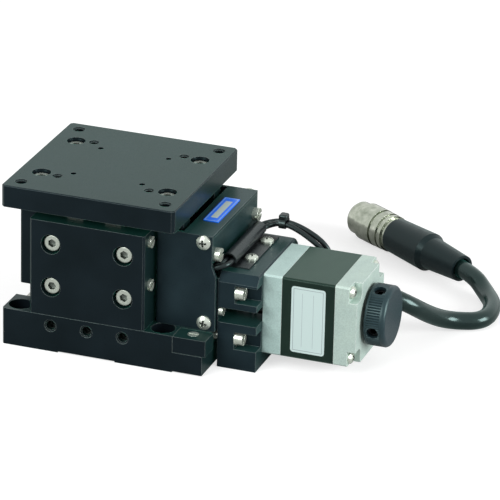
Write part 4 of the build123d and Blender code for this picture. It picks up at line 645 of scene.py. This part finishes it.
@cache
def seated_screw_tree():
    """Puts one screw on each seat, with two materials: the head and shank, and the recess, which is
    painted dark as shade.
    """
    tree, start, end = tree_sockets(
        "Screws on their seats",
        [("Screw", "NodeSocketObject"), ("Seed", "NodeSocketInt"),
         ("Finish", "NodeSocketMaterial"), ("Recess painted shade", "NodeSocketMaterial")],
    )
    source = put(
        tree, "GeometryNodeObjectInfo", {"transform_space": "ORIGINAL"},
        links={"Object": start.outputs["Screw"]},
    )
    seated = put(
        tree, "GeometryNodeInstanceOnPoints",
        links={"Points": start.outputs["Geometry"], "Instance": source.outputs["Geometry"],
               "Rotation": outward_turn(tree, start.outputs["Seed"])},
    )
    real = put(
        tree, "GeometryNodeRealizeInstances", links={"Geometry": seated.outputs["Instances"]}
    )
    plated = put(
        tree, "GeometryNodeSetMaterial",
        links={"Geometry": real.outputs["Geometry"], "Material": start.outputs["Finish"]},
    )
    inside = put(
        tree, "GeometryNodeInputNamedAttribute", {"data_type": "BOOLEAN"}, {"Name": "in_recess"}
    )
    lined = put(
        tree, "GeometryNodeSetMaterial",
        links={"Geometry": plated.outputs["Geometry"], "Selection": inside.outputs["Attribute"],
               "Material": start.outputs["Recess painted shade"]},
    )
    feed(tree, end, {"Geometry": lined.outputs["Geometry"]})
    return tree


@cache
def thread_crest_tree():
    """Winds a thread crest down the wall of each tapped hole."""
    tree, start, end = tree_sockets(
        "Thread crests in tapped holes",
        [("Core radius", "NodeSocketFloat"), ("Pitch", "NodeSocketFloat"),
         ("Depth", "NodeSocketFloat"), ("Crest", "NodeSocketFloat"),
         ("Finish", "NodeSocketMaterial")],
    )
    turns = put(
        tree, "ShaderNodeMath", {"operation": "DIVIDE"},
        links={0: start.outputs["Depth"], 1: start.outputs["Pitch"]},
    )
    helix = put(
        tree, "GeometryNodeCurveSpiral", values={"Resolution": 20},
        links={"Rotations": turns.outputs[0], "Start Radius": start.outputs["Core radius"],
               "End Radius": start.outputs["Core radius"], "Height": start.outputs["Depth"]},
    )
    section = put(
        tree, "GeometryNodeCurvePrimitiveCircle", {"mode": "RADIUS"}, {"Resolution": 4},
        {"Radius": start.outputs["Crest"]},
    )
    crest = put(
        tree, "GeometryNodeCurveToMesh",
        values={"Fill Caps": True},
        links={"Curve": helix.outputs["Curve"], "Profile Curve": section.outputs["Curve"]},
    )
    drop = put(
        tree, "ShaderNodeMath", {"operation": "MULTIPLY"}, {1: -1.0}, {0: start.outputs["Depth"]}
    )
    below = put(tree, "ShaderNodeCombineXYZ", links={"Z": drop.outputs[0]})
    sunk = put(
        tree, "GeometryNodeTransform",
        links={"Geometry": crest.outputs["Mesh"], "Translation": below.outputs["Vector"]},
    )
    placed = put(
        tree, "GeometryNodeInstanceOnPoints",
        links={"Points": start.outputs["Geometry"], "Instance": sunk.outputs["Geometry"],
               "Rotation": outward_turn(tree)},
    )
    real = put(
        tree, "GeometryNodeRealizeInstances", links={"Geometry": placed.outputs["Instances"]}
    )
    coated = put(
        tree, "GeometryNodeSetMaterial",
        links={"Geometry": real.outputs["Geometry"], "Material": start.outputs["Finish"]},
    )
    feed(tree, end, {"Geometry": coated.outputs["Geometry"]})
    return tree


def grown_mesh(name, tree, seats, values):
    """Runs a tree on points with outward directions, and gives the result as one plain mesh."""
    points = bpy.data.meshes.new(name + "_seats")
    points.from_pydata([tuple(place) for place, outward in seats], [], [])
    outwards = points.attributes.new("outward", "FLOAT_VECTOR", "POINT")
    for index, (place, outward) in enumerate(seats):
        outwards.data[index].vector = outward
    holder = bpy.data.objects.new(name + "_seats", points)
    bpy.context.scene.collection.objects.link(holder)
    modifier = holder.modifiers.new(name, "NODES")
    modifier.node_group = tree
    identifiers = {
        item.name: item.identifier
        for item in tree.interface.items_tree
        if item.item_type == "SOCKET" and item.in_out == "INPUT"
    }
    for label, value in values.items():
        modifier[identifiers[label]] = value
    graph = bpy.context.evaluated_depsgraph_get()
    mesh = bpy.data.meshes.new_from_object(holder.evaluated_get(graph))
    mesh.name = name
    holder.modifiers.clear()
    bpy.data.objects.remove(holder)
    if not mesh.polygons:
        raise RuntimeError(f"{tree.name} gave no faces for {name}")
    for attribute in ("in_recess", "outward"):
        if attribute in mesh.attributes:
            mesh.attributes.remove(mesh.attributes[attribute])
    return mesh


def smooth_by_angle(mesh, degrees):
    """Marks edges sharper than the angle, so that faces shade smoothly only across gentle ones."""
    work = bmesh.new()
    work.from_mesh(mesh)
    for edge in work.edges:
        edge.smooth = not (len(edge.link_faces) == 2 and edge.calc_face_angle() > radians(degrees))
    for face in work.faces:
        face.smooth = True
    work.to_mesh(mesh)
    work.free()


# ------------------------------------------------------------------ settings


class StageSettings(PropertyGroup):
    """Sizes and colours of the fine pieces."""

    cable_diameter: FloatProperty(
        name="Cable diameter", description="Outer diameter of the main cable",
        default=0.006, min=0.003, max=0.008, unit="LENGTH",
    )
    lead_diameter: FloatProperty(
        name="Lead diameter", description="Outer diameter of the two thin leads",
        default=0.0018, min=0.001, max=0.003, unit="LENGTH",
    )
    crest_height: FloatProperty(
        name="Thread crest", description="How far thread crests stand out of the holes' walls",
        default=0.00016, min=0.00005, max=0.0003, unit="LENGTH",
    )
    screw_seed: IntProperty(
        name="Screw seed", description="Chooses how far each screw happens to be turned",
        default=7, min=0, max=9999,
    )
    backdrop_colour: FloatVectorProperty(
        name="Floor colour", description="Colour of the plain pale floor",
        subtype="COLOR", size=3, default=(0.5, 0.5, 0.5), min=0, max=1,
    )


class STAGE_OT_machined_blocks(Operator):
    """Black anodised base, guide walls, lifting block, table, housing and bracket"""

    bl_idname = "wedge_stage.machined_blocks"
    bl_label = "Machined Blocks"

    def execute(self, context):
        dress(["base_plate", "corner_block", "front_guide_wall", "rear_guide_wall",
               "lifting_block", "table_plate"], finish("anodise"))
        dress(["bearing_housing", "sensor_cover", "housing_end_plate", "motor_bracket"],
              finish("coarse_anodise"))
        return {"FINISHED"}


class STAGE_OT_guides(Operator):
    """Wedge, crossed-roller rails, rollers and lead screw"""

    bl_idname = "wedge_stage.guides"
    bl_label = "Wedge And Guides"

    def execute(self, context):
        dress(["wedge", "wall_rails", "base_rails", "wedge_base_rails", "wedge_incline_rails",
               "block_wall_rails", "block_incline_rails", "lead_screw", "screw_locknut",
               "motor_rotor"], finish("ground"))
        dress(["wall_roller_cages", "base_roller_cages", "incline_roller_cages",
               "screw_bearings", "motor_bearings"], finish("roller"))
        dress(["screw_nut"], finish("bronze"))
        dress(["coupling"], finish("bright_aluminium"))
        return {"FINISHED"}


def sideways(centre):
    """Out of the stage in Y, on the side where the screw is."""
    return Vector((0, 1 if centre.y > 0 else -1, 0))


def upwards(centre):
    """Up, for screws that are driven from above."""
    return Vector((0, 0, 1))


def motor_end(centre):
    """Out of the motor's end cap."""
    return Vector((1, 0, 0))


# node: body, recess, head diameter, thread diameter, head height, recess size and recess depth
# in millimetres, and the way that the head faces
SEATED_SCREWS = {
    "wall_guide_screws": ("base", "hexagon", 5.5, 3.0, 3.0, 1.45, 1.6, sideways),
    "table_screws": ("table", "hexagon", 5.5, 3.0, 3.0, 1.45, 1.6, upwards),
    "cover_screws": ("base", "cross", 4.8, 2.5, 1.7, 1.3, 1.0, sideways),
    "clamp_screws": ("base", "cross", 4.4, 2.5, 1.7, 1.2, 1.0, upwards),
    "motor_through_screws": ("base", "cross", 4.2, 2.5, 1.8, 1.15, 1.0, motor_end),
}


class STAGE_OT_screws(Operator):
    """Nickel plated screws, the ones in view with finer heads, recesses and threads"""

    bl_idname = "wedge_stage.screws"
    bl_label = "Screws"

    def execute(self, context):
        settings = context.scene.wedge_stage
        dress(["corner_block_screw", "base_rail_screws", "wall_foot_screws", "preload_screws",
               "wedge_rail_screws", "block_rail_screws", "sensor_dog", "end_plate_screws",
               "bracket_screws", "slot_screw"], finish("nickel"))
        for order, (node, facts) in enumerate(SEATED_SCREWS.items()):
            body, kind, head, thread, height, recess, recess_depth, outward = facts
            seats = []
            for low, high in solid_boxes(node):
                centre = (low + high) / 2
                axis = outward(centre)
                half = (high - low) / 2
                length = 2 * abs(half.dot(axis))
                seats.append((centre + axis * (length / 2 - height * MM), axis))
            mesh = screw_mesh(
                kind, head * MM, height * MM, thread * MM, length - height * MM, recess * MM,
                recess_depth * MM,
            )
            smooth_by_angle(mesh, 38)
            pattern = bpy.data.objects.new("Screw_pattern", mesh)
            context.scene.collection.objects.link(pattern)
            # the recess finish paints the shade that falls in the screws' recesses
            result = grown_mesh(
                node + "_seated", seated_screw_tree(), seats,
                {"Screw": pattern, "Seed": settings.screw_seed + order,
                 "Finish": finish("nickel"), "Recess painted shade": finish("recess")},
            )
            bpy.data.objects.remove(pattern)
            piece = new_piece(node + "_seated", result, body)
            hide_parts(node)
        return {"FINISHED"}


def tapped_holes():
    """The tapped holes in view: name, body, node, core radius, pitch and depth in mm, and seats."""
    table_low, table_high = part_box("table_plate")
    base_low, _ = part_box("base_plate")
    up, front = Vector((0, 0, 1)), Vector((0, -1, 0))
    corners = [Vector((x, y, 0)) for x in (-1, 1) for y in (-1, 1)]
    table_top = table_high.z
    table_thickness = (table_top - table_low.z) / MM
    m4_level = Vector((0, 0, table_top - 0.9 * MM))
    m3_level = Vector((0, 0, table_top - 0.6 * MM))
    side_middle = Vector((0, base_low.y + 1.6 * MM, 9.15 * MM))
    return (
        ("Table_M4_threads", "table", "table_plate", 1.65, 0.7, table_thickness - 0.8,
         [(m4_level + corner * 25 * MM, up) for corner in corners]),
        ("Table_M3_threads", "table", "table_plate", 1.25, 0.5, 5.0,
         [(m3_level + corner * 16 * MM, up) for corner in corners]),
        ("Base_side_threads", "base", "base_plate", 1.65, 0.7, 7.0,
         [(side_middle + Vector((x * MM, 0, 0)), front) for x in (-12.6, 0, 12.6)]),
    )


class STAGE_OT_threads(Operator):
    """Thread crests in the tapped holes of the table and the base"""

    bl_idname = "wedge_stage.threads"
    bl_label = "Tapped Threads"

    def execute(self, context):
        crest = context.scene.wedge_stage.crest_height
        for name, body, node, core, pitch, depth, seats in tapped_holes():
            mesh = grown_mesh(
                name, thread_crest_tree(), seats,
                {"Core radius": core * MM, "Pitch": pitch * MM, "Depth": depth * MM,
                 "Crest": crest, "Finish": finish("thread")},
            )
            smooth_by_angle(mesh, 50)
            new_piece(name, mesh, body)
        return {"FINISHED"}


def flat_face(node, axes):
    """Middle and half sizes of a flat node along two of its axes, in millimetres."""
    low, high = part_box(node)
    places = ["XYZ".index(axis) for axis in axes]
    middle = [(low[place] + high[place]) / 2 / MM for place in places]
    half = [(high[place] - low[place]) / 2 / MM for place in places]
    return middle, half


class STAGE_OT_motor(Operator):
    """Stepping motor: cast flange and cap, lacquered stack and plain label"""

    bl_idname = "wedge_stage.motor"
    bl_label = "Motor"

    def execute(self, context):
        dress(["motor_flange"], finish("flange_cast"))
        dress(["motor_end_cap"], finish("cap_cast"))
        dress(["motor_stator"], finish("lacquer"))
        (x, z), (wide, high) = flat_face("motor_label", "XZ")
        rule = (0.06, high - 2.2)
        # printed polyester: pale, half gloss, an outline and two upright rules in grey
        film = make_printed_film("Polyester film, printed", "#C0D4D1", "XZ", [
            ((x, z), (wide - 0.8, high - 0.8), 0.18, "#8D989D"),
            ((x + wide * 0.30, z), rule, 0, "#9AA5AA"),
            ((x - wide * 0.35, z), rule, 0, "#9AA5AA"),
        ])
        dress(["motor_label"], film)
        return {"FINISHED"}


class STAGE_OT_hand_knob(Operator):
    """Knurled hand knob"""

    bl_idname = "wedge_stage.hand_knob"
    bl_label = "Hand Knob"

    def execute(self, context):
        dress(["hand_knob"], finish("knob"))
        dress(["knob_set_screws"], finish("black_screw"))
        return {"FINISHED"}


class STAGE_OT_maker_plate(Operator):
    """Small blue plate, left bare"""

    bl_idname = "wedge_stage.maker_plate"
    bl_label = "Blue Plate"

    def execute(self, context):
        middle, (wide, deep) = flat_face("maker_plate", "XY")
        # printed and sealed aluminium: strong blue, half gloss, a pale outline and field
        plate = make_printed_film("Anodised aluminium plate, printed blue", "#1474FF", "XY", [
            (middle, (wide - 0.45, deep - 0.45), 0.22, "#9CC6E6"),
            (middle, (wide - 1.5, deep - 3.0), 0, "#B9C9C6"),
        ])
        dress(["maker_plate"], plate)
        return {"FINISHED"}


class STAGE_OT_sensors(Operator):
    """Sensor board, limit sensors and the leads' clamp"""

    bl_idname = "wedge_stage.sensors"
    bl_label = "Sensors And Clamp"

    def execute(self, context):
        dress(["sensor_board"], finish("board"))
        dress(["limit_sensors"], finish("sensor"))
        dress(["cable_clamp"], finish("black_sheet"))
        return {"FINISHED"}


# out of the motor's far side, down to the floor, round and back up to the plug
CABLE_ROUTE = [
    (0.0815, 0.01835, 0.0193),
    (0.09278, 0.01835, 0.0162),
    (0.0989, 0.0306, 0.0069),
    (0.1042, 0.0376, 0.0031),
    (0.1143, 0.0417, 0.00305),
    (0.1136, 0.0550, 0.00305),
    (0.1076, 0.0646, 0.00315),
    (0.101664, 0.069384, 0.0068),
    (0.094068, 0.074208, 0.0068),
]
# out of the cover, along under the clamp, up through the tie and down into the sleeve; the
# points after the first corner and before the second keep each lead under its clamp
UPPER_LEAD_ROUTE = [
    (0.037, -0.01745, 0.0335),
    (0.04225, -0.01745, 0.0354),
    (0.04225, -0.01187, 0.0354),
    (0.04225, 0.00913, 0.0354),
    (0.04225, 0.0193, 0.0354),
    (0.052, 0.0193, 0.0383),
    (0.0661, 0.0193, 0.0318),
    (0.067233, 0.0193, 0.023224),
    (0.0735, 0.0193, 0.0215),
]
LOWER_LEAD_ROUTE = [
    (0.037, -0.0194, 0.0335),
    (0.04415, -0.0194, 0.0354),
    (0.04415, -0.012, 0.0354),
    (0.04415, 0.00903, 0.0354),
    (0.04415, 0.0174, 0.0354),
    (0.052, 0.0174, 0.0383),
    (0.0661, 0.0174, 0.0300),
    (0.067233, 0.0174, 0.023224),
    (0.0735, 0.0174, 0.0215),
]


def cord_line(name, route, diameter, finish_name, node):
    """A round cord on a smooth line through its route, in place of a carried node on the base."""
    curve = bpy.data.curves.new(name + "_line", "CURVE")
    curve.dimensions = "3D"
    spline = curve.splines.new("NURBS")
    spline.points.add(len(route) - 1)
    for point, place in zip(spline.points, route):
        point.co = (*place, 1.0)
    spline.order_u = 3
    spline.use_endpoint_u = True
    spline.resolution_u = 24
    curve.bevel_depth = diameter / 2
    curve.bevel_resolution = 8
    curve.use_fill_caps = True
    curve.materials.append(finish(finish_name))
    cord = new_piece(name, curve, "base")
    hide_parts(node)
    return cord


class STAGE_OT_cable(Operator):
    """Main cable with its moulded boot and plug shell"""

    bl_idname = "wedge_stage.cable"
    bl_label = "Cable And Plug"

    def execute(self, context):
        diameter = context.scene.wedge_stage.cable_diameter
        cable = cord_line("Main_cable_jacket", CABLE_ROUTE, diameter, "vinyl", "main_cable")
        dress(["connector_boot"], finish("boot"))
        dress(["connector_shell"], finish("shell"))
        dress(["connector_insert"], finish("sensor"))
        dress(["lead_sleeve"], finish("lead_vinyl"))
        return {"FINISHED"}


class STAGE_OT_leads(Operator):
    """Two thin leads from the cover to the sleeve, held by a tie"""

    bl_idname = "wedge_stage.leads"
    bl_label = "Leads"

    def execute(self, context):
        diameter = context.scene.wedge_stage.lead_diameter
        dress(["cable_tie"], finish("nylon"))
        for name, route, node, length, held in (
            ("Upper_lead_jacket", UPPER_LEAD_ROUTE, "upper_lead", 0.0786, ["cable_tie"]),
            ("Lower_lead_jacket", LOWER_LEAD_ROUTE, "lower_lead", 0.0784, []),
        ):
            lead = cord_line(name, route, diameter, "lead_vinyl", node)
        return {"FINISHED"}


# ------------------------------------------------------------------ stage


# the camera's direction from the target and its roll in degrees, its distance in metres, and
# its lens: a sensor of 36 mm across 500 pixels, with a focal length of 4075.18 pixels
CAMERA_AZIMUTH, CAMERA_ELEVATION, CAMERA_ROLL = 19.33, 23.21, 1.37
CAMERA_TARGET = Vector((0.04543, 0.0, 0.0339))
CAMERA_DISTANCE = 1.331
SENSOR_WIDTH = 36.0
FOCAL_PIXELS, IMAGE_PIXELS = 4075.18, 500

# light that the floor adds where the camera sees it, so that it stays pale, and its half width
# in metres
FLOOR_GLOW = 0.62
FLOOR_REACH = 4
# the white surroundings shine at full strength for the camera and for reflections only
SKY_LIGHT, SKY_SEEN = 0.5, 1.0
# place, size in metres and power in watts of each softbox, and the place that both face
SOFTBOXES = {
    "Key softbox": ((-0.55, -1.05, 0.75), 0.8, 14.0),
    "Fill softbox": ((1.3, -0.1, 0.4), 0.7, 19.0),
}
SOFTBOX_AIM = Vector((0.03, 0, 0.03))


def place_camera(scene):
    """Camera at the viewing angle, a little rolled."""
    azimuth, elevation = radians(CAMERA_AZIMUTH), radians(CAMERA_ELEVATION)
    roll = radians(CAMERA_ROLL)
    back = Vector(
        (sin(azimuth) * cos(elevation), -cos(azimuth) * cos(elevation), sin(elevation))
    )
    right = Vector((cos(azimuth), sin(azimuth), 0.0))
    up = back.cross(right)
    turned_right = right * cos(roll) + up * sin(roll)
    turned_up = up * cos(roll) - right * sin(roll)
    lens = bpy.data.cameras.new("Camera")
    lens.sensor_fit = "HORIZONTAL"
    lens.sensor_width = SENSOR_WIDTH
    lens.lens = FOCAL_PIXELS / IMAGE_PIXELS * SENSOR_WIDTH
    lens.clip_start = 0.05
    lens.clip_end = 20.0
    camera = bpy.data.objects.new("Camera", lens)
    scene.collection.objects.link(camera)
    turn = Matrix((turned_right, turned_up, back)).transposed()
    camera.matrix_world = (
        Matrix.Translation(CAMERA_TARGET + back * CAMERA_DISTANCE) @ turn.to_4x4()
    )
    scene.camera = camera


def lay_floor(scene, colour):
    """Plain paper floor, which glows a little for the camera."""
    mesh = bpy.data.meshes.new("Floor")
    reach = FLOOR_REACH
    mesh.from_pydata(
        [(-reach, -reach, 0), (reach, -reach, 0), (reach, reach, 0), (-reach, reach, 0)],
        [], [(0, 1, 2, 3)],
    )
    floor = bpy.data.objects.new("Floor", mesh)
    scene.collection.objects.link(floor)
    material = bpy.data.materials.new("Plain paper floor")
    material.use_nodes = True
    tree = material.node_tree
    tree.nodes.clear()
    path = put(tree, "ShaderNodeLightPath")
    glow = put(
        tree, "ShaderNodeMath", {"operation": "MULTIPLY"}, {1: FLOOR_GLOW},
        {0: path.outputs["Is Camera Ray"]},
    )
    paper = put(tree, "ShaderNodeBsdfDiffuse", values={"Color": (*colour, 1.0)})
    lift = put(
        tree, "ShaderNodeEmission", values={"Color": (1, 1, 1, 1)},
        links={"Strength": glow.outputs["Value"]},
    )
    both = put(
        tree, "ShaderNodeAddShader",
        links={0: paper.outputs["BSDF"], 1: lift.outputs["Emission"]},
    )
    put(tree, "ShaderNodeOutputMaterial", links={"Surface": both.outputs["Shader"]})
    mesh.materials.append(material)


def hang_lights(scene):
    """White surroundings and two softboxes."""
    world = bpy.data.worlds.new("Studio")
    scene.world = world
    world.use_nodes = True
    tree = world.node_tree
    tree.nodes.clear()
    path = put(tree, "ShaderNodeLightPath")
    seen = put(
        tree, "ShaderNodeMath", {"operation": "MAXIMUM"},
        links={0: path.outputs["Is Camera Ray"], 1: path.outputs["Is Glossy Ray"]},
    )
    strength = put(
        tree, "ShaderNodeMapRange", values={"To Min": SKY_LIGHT, "To Max": SKY_SEEN},
        links={"Value": seen.outputs["Value"]},
    )
    sky = put(
        tree, "ShaderNodeBackground", values={"Color": (1, 1, 1, 1)},
        links={"Strength": strength.outputs["Result"]},
    )
    put(tree, "ShaderNodeOutputWorld", links={"Surface": sky.outputs["Background"]})
    for name, (spot, size, power) in SOFTBOXES.items():
        light = bpy.data.lights.new(name, "AREA")
        light.shape = "SQUARE"
        light.size = size
        light.energy = power
        lamp = bpy.data.objects.new(name, light)
        scene.collection.objects.link(lamp)
        lamp.location = spot
        lamp.rotation_euler = (SOFTBOX_AIM - Vector(spot)).to_track_quat("-Z", "Y").to_euler()


class STAGE_OT_studio(Operator):
    """Camera, plain pale floor and soft studio light"""

    bl_idname = "wedge_stage.studio"
    bl_label = "Studio"

    def execute(self, context):
        scene = context.scene
        scene.view_settings.view_transform = "Standard"
        place_camera(scene)
        lay_floor(scene, scene.wedge_stage.backdrop_colour)
        hang_lights(scene)
        return {"FINISHED"}


OPERATORS = (
    STAGE_OT_studio,
    STAGE_OT_cable,
    STAGE_OT_leads,
    STAGE_OT_machined_blocks,
    STAGE_OT_guides,
    STAGE_OT_screws,
    STAGE_OT_threads,
    STAGE_OT_motor,
    STAGE_OT_hand_knob,
    STAGE_OT_maker_plate,
    STAGE_OT_sensors,
)


class STAGE_PT_panel(Panel):
    """Shows the stage's settings and a button for each operator"""

    bl_idname = "STAGE_PT_panel"
    bl_label = "Wedge Stage"
    bl_space_type = "VIEW_3D"
    bl_region_type = "UI"
    bl_category = "Stage"

    def draw(self, context):
        column = self.layout.column()
        for name in StageSettings.__annotations__:
            column.prop(context.scene.wedge_stage, name)
        for operator in OPERATORS:
            column.operator(operator.bl_idname)


CLASSES = (StageSettings, *OPERATORS, STAGE_PT_panel)


def register():
    for item in CLASSES:
        bpy.utils.register_class(item)
    bpy.types.Scene.wedge_stage = PointerProperty(type=StageSettings)


def unregister():
    del bpy.types.Scene.wedge_stage
    for item in reversed(CLASSES):
        bpy.utils.unregister_class(item)


def main():
    register()
    for operator in OPERATORS:
        group, name = operator.bl_idname.split(".")
        getattr(getattr(bpy.ops, group), name)()


if __name__ == "__main__":
    main()
